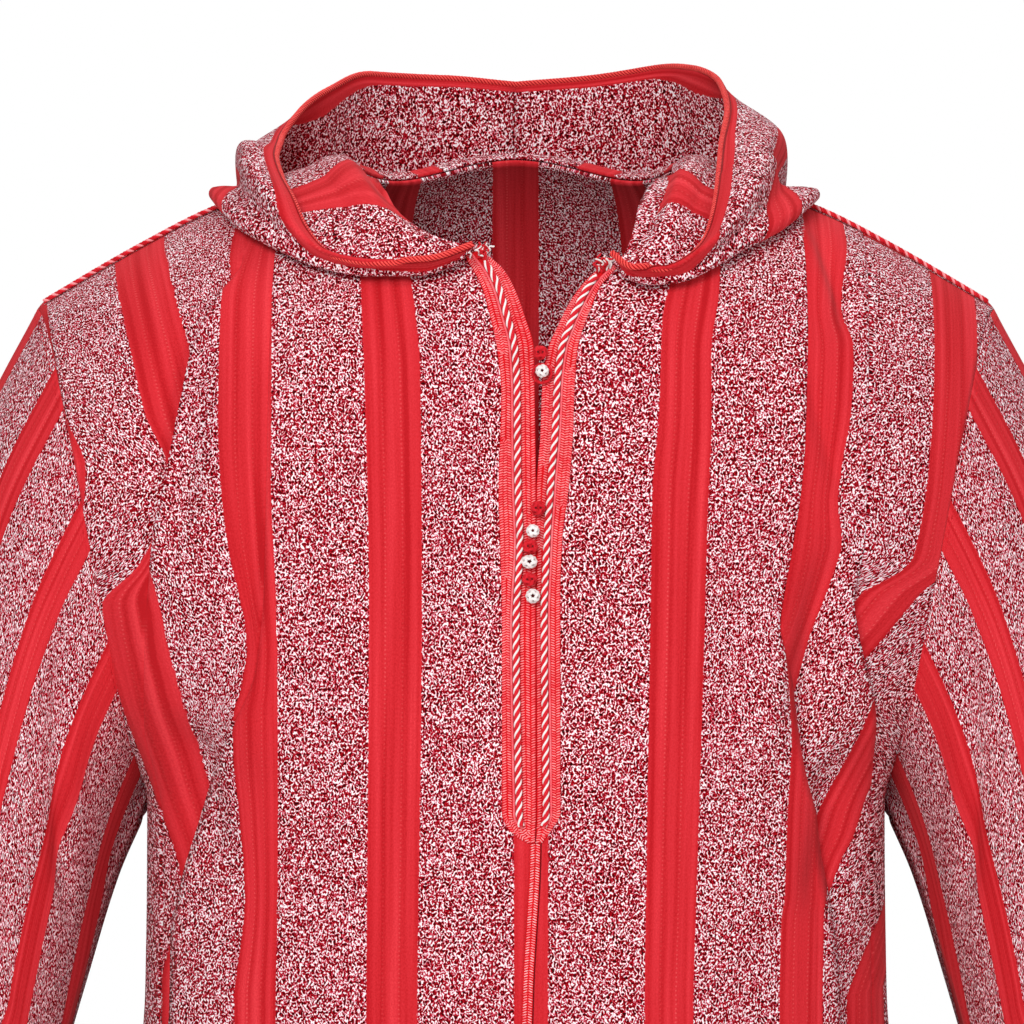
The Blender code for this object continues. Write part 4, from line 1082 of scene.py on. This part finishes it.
def plyTree():
    # a strand round the path; "turn" on the path's points tells how far the cord has twisted there
    tree, given, out = newTree("ply", [
        ("Reach", "f"), ("Radius", "f"), ("Phase", "f"), ("Step", "f"), ("Sides", "i"), ("Thread", "m"),
    ])
    path = output(tree, "GeometryNodeMeshToCurve", {0: given["Geometry"]})
    even = {"Curve": path, "Length": given["Step"]}
    path = output(tree, "GeometryNodeResampleCurve", even, mode="LENGTH")
    angle = math1(tree, "ADD", attribute(tree, "turn", "FLOAT"), given["Phase"])
    normal = output(tree, "GeometryNodeInputNormal")
    tangent = output(tree, "GeometryNodeInputTangent")
    axes = {0: tangent, 1: normal}
    across = output(tree, "ShaderNodeVectorMath", axes, operation="CROSS_PRODUCT")
    parts = []
    for direction, share in ((normal, math1(tree, "COSINE", angle)), (across, math1(tree, "SINE", angle))):
        reach = math1(tree, "MULTIPLY", share, given["Reach"])
        made = addNode(tree, "ShaderNodeVectorMath", {0: direction}, operation="SCALE")
        tree.links.new(reach, made.inputs["Scale"])
        parts.append(made.outputs[0])
    offset = output(tree, "ShaderNodeVectorMath", {0: parts[0], 1: parts[1]}, operation="ADD")
    strand = output(tree, "GeometryNodeSetPosition", {"Geometry": path, "Offset": offset})
    ring = {"Resolution": given["Sides"], "Radius": given["Radius"]}
    ring = output(tree, "GeometryNodeCurvePrimitiveCircle", ring, mode="RADIUS")
    tube = {"Curve": strand, "Profile Curve": ring, "Fill Caps": True}
    tube = output(tree, "GeometryNodeCurveToMesh", tube)
    finishTree(tree, tube, given["Thread"], out)
    return tree


trees = {"stitches": stitchesTree(), "ply": plyTree()}


def runTree(tree, mesh, values):
    # the mesh that the tree makes from this one
    holder = bpy.data.objects.new("holder", mesh)
    bpy.context.scene.collection.objects.link(holder)
    modifier = holder.modifiers.new("shape", "NODES")
    modifier.node_group = tree
    for item in tree.interface.items_tree:
        if item.in_out == "INPUT" and item.name in values:
            modifier[item.identifier] = values[item.name]
    ready = holder.evaluated_get(bpy.context.evaluated_depsgraph_get())
    made = bpy.data.meshes.new_from_object(ready)
    bpy.data.objects.remove(holder)
    bpy.data.meshes.remove(mesh)
    return made


def pointsMesh(runs):
    # points from runs of places, directions along and out, and shades
    places, alongs, outs, shades = (np.concatenate(part) for part in zip(*runs))
    mesh = bpy.data.meshes.new("points")
    mesh.from_pydata(places.tolist(), [], [])
    for name, values in (("along", alongs), ("out", outs)):
        layer = mesh.attributes.new(name, "FLOAT_VECTOR", "POINT")
        layer.data.foreach_set("vector", np.asarray(values, np.float32).reshape(-1))
    layer = mesh.attributes.new("shade", "FLOAT", "POINT")
    layer.data.foreach_set("value", np.asarray(shades, np.float32))
    return mesh


def pathMesh(paths, pitch):
    # open or closed runs of points, with the twist so far and a shade for each run; the pitch is a
    # length to one turn, or a function of the share of the way along
    points, edges, turns, shades = [], [], [], []
    for path, shade, closed in paths:
        path = np.asarray(path)
        first = len(points)
        count = len(path)
        steps = np.linalg.norm(np.diff(path, axis=0), axis=1)
        here = pitch(np.arange(count - 1) / max(count - 2, 1)) if callable(pitch) else pitch
        rate = 2 * math.pi / here
        turns += list(np.concatenate([[0], np.cumsum(steps * rate)]))
        points += path.tolist()
        shades += [shade] * count
        edges += [(first + k, first + k + 1) for k in range(count - 1)]
        if closed:
            edges.append((first + count - 1, first))
    mesh = bpy.data.meshes.new("path")
    mesh.from_pydata(points, edges, [])
    for name, values in (("turn", turns), ("shade", shades)):
        layer = mesh.attributes.new(name, "FLOAT", "POINT")
        layer.data.foreach_set("value", np.asarray(values, np.float32))
    return mesh


def strand(paths, radius, thread, step=0.5 * mm, sides=6, reach=0.0, phase=0.0, pitch=math.inf):
    return runTree(trees["ply"], pathMesh(paths, pitch), {
        "Reach": reach, "Radius": radius, "Phase": phase, "Step": step, "Sides": sides, "Thread": thread})


def joined(name, meshes):
    # one mesh from several, each with its own material
    objects = []
    for mesh in meshes:
        made = bpy.data.objects.new(name, mesh)
        bpy.context.scene.collection.objects.link(made)
        objects.append(made)
    with bpy.context.temp_override(active_object=objects[0], selected_editable_objects=objects):
        bpy.ops.object.join()
    mesh = objects[0].data
    bpy.data.objects.remove(objects[0])
    mesh.name = name
    return mesh


def addTrim(name, meshes, slot, *nodes):
    return addPiece(name, joined(name, meshes), None, slot, *nodes)


def alongPath(path, spacing, normals):
    # points at even spacing on a path, with the way ahead and the normal at each
    length = runLength(path)
    at = np.arange(spacing / 2, length[-1], spacing)

    def read(rows):
        return np.stack([np.interp(at, length, rows[:, k]) for k in range(3)], -1)

    here = read(path)
    return here, unit(np.gradient(here, axis=0)), unit(read(normals))


def bandMesh(name, left, right, normals, thickness, material):
    # a thin closed band between two edges
    half = normals * thickness / 2
    ring = [left + half, right + half, right - half, left - half]
    points = np.stack(ring, 1).reshape(-1, 3)
    count = len(left)
    faces = [(4 * j + k, 4 * j + (k + 1) % 4, 4 * j + 4 + (k + 1) % 4, 4 * j + 4 + k)
             for j in range(count - 1) for k in range(4)]
    faces += [(3, 2, 1, 0), tuple(4 * (count - 1) + k for k in range(4))]
    mesh = bpy.data.meshes.new(name)
    mesh.from_pydata(points.tolist(), [], faces)
    built = bmesh.new()
    built.from_mesh(mesh)
    bmesh.ops.recalc_face_normals(built, faces=built.faces)
    built.to_mesh(mesh)
    built.free()
    mesh.materials.append(material)
    return mesh


braid = {
    "stitch": 1.2 * mm,     # from one stitch to the next
    "width": 0.66 * mm, "height": 0.60 * mm,
    "slant": 70,            # degrees between a stitch and the braid
    "rib": 2.1 * mm,        # width of one row of stitches
    "ribs": 3,
    "ground": 1.3 * mm,     # middle of the ground above the middle of the cloth
    "groundThick": 1.0 * mm,
    "stitchLift": 1.92 * mm,
    "piping": 0.62 * mm, "pipingLift": 0.25 * mm, "pipingFoot": 0.314, "pipingStep": 0.8 * mm,
    "top": 1.5 * mm, "rows": 420,
    "closing": (-3 * mm, 1 * mm),   # about the cord's foot
    "snug": 0.95,           # how near the stitches come to the cord, of its radius
    "leastRun": 6, "leastFree": 0.5 * mm,  # a shorter or narrower row of stitches is left out
    "seeds": {"right": 5, "left": 6},
    "uneven": 0.06, "unevenLift": 0.05 * mm,  # how much the stitches stray, in radians and out
}
cord = {
    "radius": 1.65 * mm, "whitePly": 0.57 * mm, "redPly": 0.95 * mm,
    "whiteOut": 0.04 * mm,      # the white plies stand out so much more
    "pitch": 10.4 * mm, "loosePitch": 13 * mm, "loose": 0.22,  # the twist is loose down to this share
    "lift": 3.7 * mm,
    "top": 8 * mm, "foot": 0.312, "points": 300,
    # share of the way from the placket's inner edge to its outer one
    "place": {
        "right": [(0.0, 0.47), (0.11, 0.53), (0.156, 0.48), (0.178, 0.45), (0.22, 0.59), (0.306, 0.50)],
        "left": [(0.117, 0.46), (0.170, 0.42), (0.192, 0.38), (0.213, 0.32), (0.277, 0.38), (0.32, 0.42)],
    },
}


def placketRows(name):
    # rows down the placket: drop, inner and outer x
    table = form["placket"][name]
    drops = np.linspace(table[0][0] + braid["top"], table[-1][0], braid["rows"])
    return drops, smooth(table, drops, 1) + form["seamGap"], smooth(table, drops, 2)


def placketPath(name, drops, x, lift):
    side = sides[name]
    girth = -girthAt(x, drops)
    normals = bodyNormal(side, x, girth)
    return bodyPoint(side, x, girth) + normals * np.asarray(lift)[..., None], normals


def braidStitches(rows, rng, thread=coralBraid):
    # stitches of one row after another, slanted to and fro
    runs = []
    for k, (path, normals) in enumerate(rows):
        at, ahead, out = alongPath(path, braid["stitch"], normals)
        aside = np.cross(out, ahead)
        slant = math.radians(braid["slant"]) * (1 if k % 2 else -1) + rng.normal(0, braid["uneven"], len(at))
        along = ahead * np.cos(slant)[:, None] + aside * np.sin(slant)[:, None]
        place = at + out * rng.normal(0, braid["unevenLift"], len(at))[:, None]
        runs.append((place, along, out, rng.random(len(at))))
    length = braid["rib"] / math.sin(math.radians(braid["slant"]))
    sizes = {"Length": length, "Width": braid["width"], "Height": braid["height"]}
    return runTree(trees["stitches"], pointsMesh(runs), {**sizes, "Thread": thread})


def makePlacketBraid(name):
    drops, inner, outer = placketRows(name)
    width = outer - inner
    size = np.abs(width)
    share = smooth(cord["place"][name], drops, 1)
    rows = []
    # below the cord's end the stitches close up over its place
    closing = [cord["foot"] + part for part in braid["closing"]]
    cordHere = 1 - ramp(drops, *closing)
    gap = cord["radius"] * braid["snug"] * cordHere
    pipe = 2 * braid["piping"] * cordHere
    lift = braid["stitchLift"]
    for start, end in ((0 * size, share * size - gap), (share * size + gap + pipe, size)):
        free = np.maximum(end - start, 0)
        ribs = np.clip(np.round(free / braid["rib"]), 1, braid["ribs"])
        for k in range(braid["ribs"]):
            at = start + (k + 0.5) * free / ribs
            keep = (k < ribs) & (free > braid["leastFree"])
            edges = np.flatnonzero(np.diff(np.concatenate([[0], keep.astype(int), [0]])))
            for first, last in zip(edges[::2], edges[1::2]):
                if last - first < braid["leastRun"]:
                    continue
                x = inner[first:last] + width[first:last] * (at / size)[first:last]
                rows.append(placketPath(name, drops[first:last], x, lift))
    stitched = braidStitches(rows, np.random.default_rng(braid["seeds"][name]))
    left, normals = placketPath(name, drops, inner, braid["ground"])
    right, _ = placketPath(name, drops, outer, braid["ground"])
    ground = bandMesh("ground", left, right, normals, braid["groundThick"], coralGround)
    end = drops < braid["pipingFoot"]
    x = inner + width * (share + (gap + pipe / 2) / size)
    piping, _ = placketPath(name, drops[end], x[end], lift + braid["pipingLift"])
    piped = strand([(piping, 0.1, False)], braid["piping"], coralBraid, step=braid["pipingStep"])
    addTrim("braid_of_placket_" + name, [ground, stitched, piped], "red_braid", "placket_braid_" + name)


def makePlacketCord(name):
    table = form["placket"][name]
    drops = np.linspace(table[0][0] + cord["top"], cord["foot"], cord["points"])
    share = smooth(cord["place"][name], drops, 1)
    x = mix(smooth(table, drops, 1), smooth(table, drops, 2), share)
    path, _ = placketPath(name, drops, x, cord["lift"])

    def pitchUp(share):
        # the path starts at the foot
        return mix(cord["loosePitch"], cord["pitch"], ease((1 - share) / cord["loose"]))

    meshes = []
    for k in range(4):
        ply, thread = (cord["whitePly"], ivoryThread) if k % 2 else (cord["redPly"], redThread)
        reach = cord["radius"] - ply + cord["whiteOut"] * (k % 2)
        meshes.append(strand([(path[::-1], 0.7, False)], ply, thread, reach=reach, phase=k * math.pi / 2,
                             pitch=pitchUp))
    meshes += looseYarn(name)
    addTrim("cord_of_placket_" + name, meshes, "twisted_cord", "placket_cord_" + name)


yarn = {
    "ends": {"right": 16, "left": 22},
    "radius": 0.42 * mm,
    "thicker": 1.15,            # the red ends against the white ones
    "reach": 9 * mm, "reachShare": (0.45, 1.0),
    "curl": 2.6 * mm, "curlShare": (0.3, 1.0), "turns": (0.7, 1.8),
    "spread": 7 * mm,           # they start within this drop of the top
    "across": (0.15, 0.9),      # at these shares of the placket's width
    "lift": 3.2 * mm,
    "inward": (-0.5, 0.9), "forward": 0.15, "upward": (0.35, 1.0),  # the way that an end goes
    "bent": 0.35,               # how much it slows towards its tip
    "phase": (-0.5, 0.5),
    "points": 24,
    "seeds": {"right": 21, "left": 8},
}


def looseYarn(name):
    # frayed ends of the cord and braid, where the placket runs out under the hood
    side = sides[name]
    table = form["placket"][name]
    rng = np.random.default_rng(yarn["seeds"][name])
    white, red = [], []
    for k in range(yarn["ends"][name]):
        drop = table[0][0] + rng.uniform(0.0, yarn["spread"])
        x = mix(smooth(table, drop, 1), smooth(table, drop, 2), rng.uniform(*yarn["across"]))
        girth = -float(girthAt(x, drop))
        normal = bodyNormal(side, np.array(x), np.array(girth))
        start = bodyPoint(side, np.array(x), np.array(girth)) + normal * yarn["lift"]
        inward = rng.uniform(*yarn["inward"])
        up = np.array([-side * inward, -yarn["forward"], rng.uniform(*yarn["upward"])])
        aside = unit(np.cross(up, normal))
        t = np.linspace(0, 1, yarn["points"])[:, None]
        reach = yarn["reach"] * rng.uniform(*yarn["reachShare"])
        curl = yarn["curl"] * rng.uniform(*yarn["curlShare"])
        turns = rng.uniform(*yarn["turns"]) * 2 * math.pi
        path = start + unit(up) * reach * t * (1 - yarn["bent"] * t)
        path = path + normal * (curl * (1 - np.cos(turns * t)) * 0.5 * t)
        path = path + aside * curl * np.sin(turns * t + rng.uniform(*yarn["phase"])) * t
        (white if k % 2 else red).append((path, rng.random(), False))
    thicker = yarn["radius"] * yarn["thicker"]
    return [strand(white, yarn["radius"], ivoryThread), strand(red, thicker, redThread)]


centreBraid = {
    "half": 2.4 * mm, "rows": 2, "points": 700, "below": 0.3 * mm, "seed": 4,
    "edge": 0.28 * mm, "shadowOut": 0.3 * mm, "shadowLift": 1.0 * mm, "shadowStep": 2 * mm,   # the dark thread beside it, painted shadow where the right front overlaps
}


def makeCentreBraid():
    top = form["placket"]["right"][-1][0] + centreBraid["below"]
    drops = np.linspace(top, form["hem"], centreBraid["points"])
    middle = smooth(form["centre"], drops, 1)
    depth = smooth(form["rows"], drops, 2)

    def line(across, lift):
        return np.stack([middle + across, form["ridgeY"] - depth - lift, -drops], -1)

    normals = np.tile([0.0, -1.0, 0.0], (len(drops), 1))
    half = centreBraid["half"]
    rows = [(line(mix(-half, half, (k + 0.5) / centreBraid["rows"]), braid["stitchLift"]), normals)
            for k in range(centreBraid["rows"])]
    ground = bandMesh("ground", line(-half, braid["ground"]), line(half, braid["ground"]), normals,
                      braid["groundThick"], coralGround)
    # a dark thread by the braid's right side: painted shadow where the right front overlaps the left
    edge = line(half + centreBraid["shadowOut"], centreBraid["shadowLift"])
    edge = strand([(edge, 0.9, False)], centreBraid["edge"], shadowThread, step=centreBraid["shadowStep"])
    stitched = braidStitches(rows, np.random.default_rng(centreBraid["seed"]), paleBraid)
    addTrim("braid_of_centre", [ground, stitched, edge], "red_braid", "centre_braid")


rimBraid = {
    "radius": 1.6 * mm,
    "gap": -0.8 * mm,       # it overlaps the cloth's edge by this much
    "plies": 8, "ply": 0.50 * mm, "plyShares": (0.9, 1.1), "pitch": 7.2 * mm, "plyStep": 0.75 * mm,
    "core": 0.1 * mm,       # so far the core reaches past the middle of the plies
    "coreStep": 1 * mm,
    # the dark strand beside it, painted shade in the groove along the piping
    "grooveShade": 0.42 * mm, "grooveOut": 0.9 * mm, "grooveIn": 0.95, "grooveStep": 2 * mm,
}


def makeRimBraid(rims):
    path, grooveShade = [], []
    for grid in rims:
        ahead = grid[:, -1] - grid[:, -2]
        along = unit(np.gradient(grid[:, -1], axis=0))
        ahead = unit(ahead - along * np.sum(ahead * along, axis=1, keepdims=True))
        path.append(grid[:, -1] + ahead * (rimBraid["gap"] + rimBraid["radius"]))
        aside = np.cross(along, ahead)
        aside *= np.sign(np.sum(aside * grid[:, -1] * [1.0, 1.0, 0.0], axis=1).sum())
        behind = ahead * rimBraid["radius"] * rimBraid["grooveIn"]
        grooveShade.append(path[-1] - behind + aside * rimBraid["grooveOut"])
    path = np.concatenate([path[0], path[1][::-1][1:]])
    grooveShade = np.concatenate([grooveShade[0], grooveShade[1][::-1][1:]])
    reach = rimBraid["radius"] - rimBraid["ply"]
    core = reach + rimBraid["core"]
    meshes = [
        # the core, seen between the plies, in the painted shade colour
        strand([(path, 0.3, False)], core, rimShade, step=rimBraid["coreStep"], sides=8),
        # a dark strand in the groove beside the piping: painted shade
        strand([(grooveShade, 0.0, False)], rimBraid["grooveShade"], rimShade, step=rimBraid["grooveStep"]),
    ]
    for k in range(rimBraid["plies"]):
        # every other ply is a shaded copy of the rim thread: painted shade in the grooves between the ribs
        thread = rimThread if k % 2 else rimShade
        ply = rimBraid["ply"] * rimBraid["plyShares"][k % 2]
        phase = k * 2 * math.pi / rimBraid["plies"]
        meshes.append(strand([(path, 0.6, False)], ply, thread, step=rimBraid["plyStep"], sides=5,
                             reach=reach, phase=phase, pitch=rimBraid["pitch"]))
    addTrim("braid_of_hood_rim", meshes, "red_braid", "hood_edge_braid")


seamCord = {
    "radius": 1.3 * mm, "plies": 3, "ply": 0.72 * mm, "pitch": 5.4 * mm, "lift": 2.3 * mm,
    "start": 0.100, "end": 0.231, "points": 60,   # x along the shoulder seam
}


def makeShoulderCord(name):
    side = sides[name]
    x = np.linspace(seamCord["start"], seamCord["end"], seamCord["points"])
    girth = form["seamGirth"] + 0 * x
    path = bodyPoint(side, x, girth) + bodyNormal(side, x, girth) * seamCord["lift"]
    meshes = [strand([(path, 0.3 + 0.4 * k, False)], seamCord["ply"], redThread if k < 2 else coralBraid,
                     reach=seamCord["radius"] - seamCord["ply"], phase=k * 2 * math.pi / seamCord["plies"],
                     pitch=seamCord["pitch"]) for k in range(seamCord["plies"])]
    addTrim("cord_of_shoulder_" + name, meshes, "seam_cord", "shoulder_cord_" + name)


buttons = {
    # a thread that goes round so many times, with so many bights, and how near the face's middle it comes,
    # over a core; then for each x, drop, radius, height above the cloth and how wide it is for its height
    "balls": {
        # the balls' core is painted shade, dark where it shows between the passes of the white thread
        "thread": 0.72 * mm, "leads": 3, "bights": 5, "high": 1.05, "core": shadowThread,
        "at": {
            "button_1": (0.0122, 0.0998, 3.2 * mm, 6.0 * mm, 1.0),
            "button_2": (0.0078, 0.1746, 3.2 * mm, 6.0 * mm, 1.0),
            "button_3": (0.0062, 0.1890, 3.3 * mm, 6.0 * mm, 1.2),
            "button_4": (0.0078, 0.2050, 3.5 * mm, 6.0 * mm, 1.0),
        },
    },
    "knots": {
        "thread": 0.80 * mm, "leads": 3, "bights": 4, "high": 0.98, "core": redThread,
        "at": {
            "knot_1": (0.0114, 0.0910, 3.5 * mm, 4.6 * mm, 1.0),
            "knot_2": (0.0103, 0.1640, 3.5 * mm, 5.2 * mm, 1.0),
            "knot_3": (0.0066, 0.1818, 3.4 * mm, 5.2 * mm, 1.12),
            "knot_4": (0.0063, 0.1972, 3.4 * mm, 5.2 * mm, 1.08),
        },
    },
    "turned": 0.7,          # each is turned by so much more, in radians
    "points": 120,          # to one round of the thread
    "over": 0.34,           # how far the thread goes out and in where it crosses, of its radius
    "coreIn": 1.5, "step": 0.35 * mm,
    "shank": 0.9 * mm, "shankEnd": 1.9 * mm,
    # the two dark pegs that paint the shade in the holes of a knot's face
    "pit": 0.5 * mm, "pitApart": 1.15 * mm, "pitDeep": 1.2 * mm, "pitIn": 0.35 * mm,
    "loop": {"x": 0.0122, "drop": 0.1008, "radius": 4.3 * mm, "lift": 3.6 * mm, "points": 72},
    "loopPly": 0.52 * mm, "loopReach": 0.36 * mm, "loopPitch": 3.4 * mm,
}


def wovenBall(centre, normal, radius, thread, leads, bights, high, turned, wide):
    # a thread that passes over and under itself round a ball, leaving a dimple at its face
    s = np.linspace(0, 2 * math.pi * leads, buttons["points"] * leads, endpoint=False)
    latitude = high * np.cos(bights * s / leads)
    over = buttons["over"] * thread * np.sin(bights * s / leads * 2 + bights * math.pi)
    out = radius - thread + over
    face = unit(normal)
    aside = unit(np.cross(face, [0.0, 0.0, 1.0]))
    up = np.cross(aside, face)
    level = np.cos(latitude) * out
    s = s + turned
    return (centre + np.outer(np.sin(latitude) * out, face) + np.outer(wide * level * np.cos(s), aside)
            + np.outer(level * np.sin(s), up))


def ballCore(centre, radius, material):
    ball = bmesh.new()
    bmesh.ops.create_icosphere(ball, subdivisions=3, radius=radius)
    bmesh.ops.translate(ball, verts=ball.verts, vec=Vector(centre))
    core = bpy.data.meshes.new("core")
    ball.to_mesh(core)
    ball.free()
    core.materials.append(material)
    core.shade_smooth()
    return core


def pegMesh(start, end, radius, thread):
    return strand([(np.array([start, end]), 0.5, False)], radius, thread)


def makeButtons():
    for kind, thread, slot in (("balls", ivoryThread, "white_thread"), ("knots", redThread, "red_thread")):
        made = buttons[kind]
        size = made["thread"]
        for k, (name, (x, drop, radius, lift, wide)) in enumerate(made["at"].items()):
            place, normal = placketPath("left", np.array([drop]), np.array([x]), lift)
            place, normal = place[0], normal[0]
            path = wovenBall(place, normal, radius, size, made["leads"], made["bights"], made["high"],
                             buttons["turned"] * k, wide)
            parts = [
                ballCore(place, radius - buttons["coreIn"] * size, made["core"]),
                strand([(path, 0.6, True)], size, thread, step=buttons["step"], sides=8),
                pegMesh(place, place - normal * (lift - buttons["shankEnd"]), buttons["shank"], thread),
            ]
            if kind == "knots":
                # dark pegs in the knot's two holes: painted shade
                face, high = unit(normal), radius - buttons["pitIn"]
                aside = unit(np.cross(face, [0.0, 0.0, 1.0]))
                for way in (-1, 1):
                    low = place + aside * way * buttons["pitApart"] + face * (high - buttons["pitDeep"])
                    parts.append(pegMesh(low, low + face * buttons["pitDeep"], buttons["pit"], shadowThread))
            addTrim(name + "_thread", parts, slot, name)
    loop = buttons["loop"]
    angle = np.linspace(0, 2 * math.pi, loop["points"], endpoint=False)
    ring, _ = placketPath("left", loop["drop"] + loop["radius"] * np.sin(angle),
                          loop["x"] + loop["radius"] * np.cos(angle), loop["lift"])
    meshes = [strand([(ring, 0.3 + 0.4 * k, True)], buttons["loopPly"], redThread, reach=buttons["loopReach"],
                     phase=k * math.pi, pitch=buttons["loopPitch"]) for k in range(2)]
    addTrim("button_loop_thread", meshes, "red_thread", "button_loop")


sewing = {
    "long": 2.5 * mm, "step": 3.7 * mm, "width": 0.5 * mm, "height": 0.42 * mm, "out": 0.12 * mm,
    "hem": 3, "cuff": 5, "armhole": 2,  # rows of the cloth's points in from the edge
    "seed": 17,
}


def sewLines(name, lines):
    # a running stitch along each line, standing on the cloth
    rng = np.random.default_rng(sewing["seed"])
    runs = []
    for path, normals in lines:
        at, ahead, out = alongPath(path, sewing["step"], normals)
        runs.append((at + out * (cloth["thickness"] / 2 + sewing["out"]), ahead, out, rng.random(len(at))))
    sizes = {"Length": sewing["long"], "Width": sewing["width"], "Height": sewing["height"]}
    mesh = runTree(trees["stitches"], pointsMesh(runs), {**sizes, "Thread": redThread})
    mesh.name = name
    addPiece(name, mesh, None, "red_thread")


stripedBody = stripedCloth("striped cloth")
stripedHood = stripedCloth("hood cloth", evenFlecks=True)


def addCloth(name, mesh, material, slot, node, thickness, outward):
    piece = addPiece(name, mesh, material, slot, node)
    thicken(piece, thickness, outward)
    return piece


def hemLine(grid, outward):
    row = -1 - sewing["hem"]
    return grid[row], gridNormals(grid, outward)[row]


def dressPanels():
    edges, hems, seams = {}, [], []
    yoke = slice(0, weave["yoke"] + 1, 2)
    for name in sides:
        grid, uv = frontPanel(name)
        mesh = sheetMesh("panel_front_" + name, grid, uv)
        piece = addCloth(mesh.name, mesh, stripedBody, "striped_cloth", "front_" + name, cloth["thickness"],
                         lambda at: (0, -1, 0))
        edges[name] = grid[yoke, -1]
        hems.append(hemLine(grid, (0, -1, 0)))
    grid, uv = backPanel()
    mesh = sheetMesh("panel_back", grid, uv)
    piece = addCloth(mesh.name, mesh, stripedBody, "striped_cloth", "back", cloth["thickness"],
                     lambda at: (0, 1, 0))
    hems.append(hemLine(grid, (0, 1, 0)))
    ends = {"right": grid[yoke, 0], "left": grid[yoke, -1]}
    sewLines("hem_stitches", hems)
    for name, side in sides.items():
        grid, uv = sleevePanel(side, edges[name], ends[name])
        mesh = sheetMesh("sleeve_cloth_" + name, grid, uv, tube=True)
        centre = Vector(grid.mean(axis=(0, 1)))
        piece = addCloth(mesh.name, mesh, stripedBody, "striped_cloth", "sleeve_" + name, cloth["thickness"],
                         lambda at: (at.x - centre.x, at.y - centre.y, 0))
        for row in (sewing["armhole"], len(grid) - 1 - sewing["cuff"]):
            loop = np.concatenate([grid[row], grid[row, :1]])
            out = unit(loop - loop[:-1].mean(axis=0))
            down = unit(np.concatenate([grid[row + 1], grid[row + 1, :1]]) - loop)
            seams.append((loop, unit(out - down * np.sum(out * down, axis=1, keepdims=True))))
    sewLines("sleeve_stitches", seams)


def dressHood():
    rims = []
    for name in sides:
        grid, uv = hoodPanel(name)
        mesh = sheetMesh("hood_cloth_" + name, grid, uv)
        piece = addCloth(mesh.name, mesh, stripedHood, "hood_cloth", "hood_" + name, hoodForm["thickness"],
                         lambda at: (at.x, at.y, 0))
        rims.append(grid)
    makeRimBraid(rims)


print("panels, sleeves and their stitches")
dressPanels()
print("hood")
dressHood()
print("placket")
for half in sides:
    makePlacketBraid(half)
    makePlacketCord(half)
    makeShoulderCord(half)
makeCentreBraid()
print("buttons")
makeButtons()


stage = {
    "skyLight": 0.42,       # how much the background lights
    "skySeen": 1.0,         # and how bright it looks
    "floorZ": -1.5, "floorHalf": 6, "floorColour": (0.86, 0.86, 0.86, 1), "floorRoughness": 0.9,
    # place, width and watts of each lamp
    "lamps": {
        "key": ((-0.7, -2.9, 1.0), 1.2, 60),
        "fill": ((1.8, -2.3, 0.3), 2.0, 14),
        "top": ((0.3, 0.8, 2.2), 2.0, 26),
    },
    "lampsAim": (0, 0, -0.2),
    "lens": 164.6, "sensor": 36, "farthest": 50,
    "camera": (-0.0019, -2.32, -0.1654),
}


def setStage():
    bpy.context.scene.view_settings.view_transform = "Standard"
    world = bpy.data.worlds.new("studio")
    world.use_nodes = True
    tree = world.node_tree
    sky = tree.nodes["Background"]
    sky.inputs[0].default_value = (1.0, 1.0, 1.0, 1.0)
    seen = addNode(tree, "ShaderNodeLightPath").outputs["Is Camera Ray"]
    tree.links.new(mapRange(tree, seen, 0.0, 1.0, stage["skyLight"], stage["skySeen"]), sky.inputs[1])
    bpy.context.scene.world = world
    mesh = bpy.data.meshes.new("floor")
    half, z = stage["floorHalf"], stage["floorZ"]
    corners = [(-half, -half, z), (half, -half, z), (half, half, z), (-half, half, z)]
    mesh.from_pydata(corners, [], [(0, 1, 2, 3)])
    material, _, shader = newMaterial("pale floor")
    shader.inputs["Base Color"].default_value = stage["floorColour"]
    shader.inputs["Roughness"].default_value = stage["floorRoughness"]
    mesh.materials.append(material)
    floor = bpy.data.objects.new("floor", mesh)
    bpy.context.scene.collection.objects.link(floor)
    for name, (place, size, power) in stage["lamps"].items():
        light = bpy.data.lights.new(name, "AREA")
        light.size = size
        light.energy = power
        lamp = bpy.data.objects.new(name, light)
        lamp.location = place
        aim = Vector(stage["lampsAim"]) - Vector(place)
        lamp.rotation_euler = aim.to_track_quat("-Z", "Y").to_euler()
        bpy.context.scene.collection.objects.link(lamp)
    lens = bpy.data.cameras.new("camera")
    lens.lens = stage["lens"]
    lens.sensor_width = stage["sensor"]
    lens.clip_end = stage["farthest"]
    camera = bpy.data.objects.new("camera", lens)
    camera.location = stage["camera"]
    camera.rotation_euler = (math.pi / 2, 0, 0)
    bpy.context.scene.collection.objects.link(camera)
    bpy.context.scene.camera = camera


print("stage")
setStage()
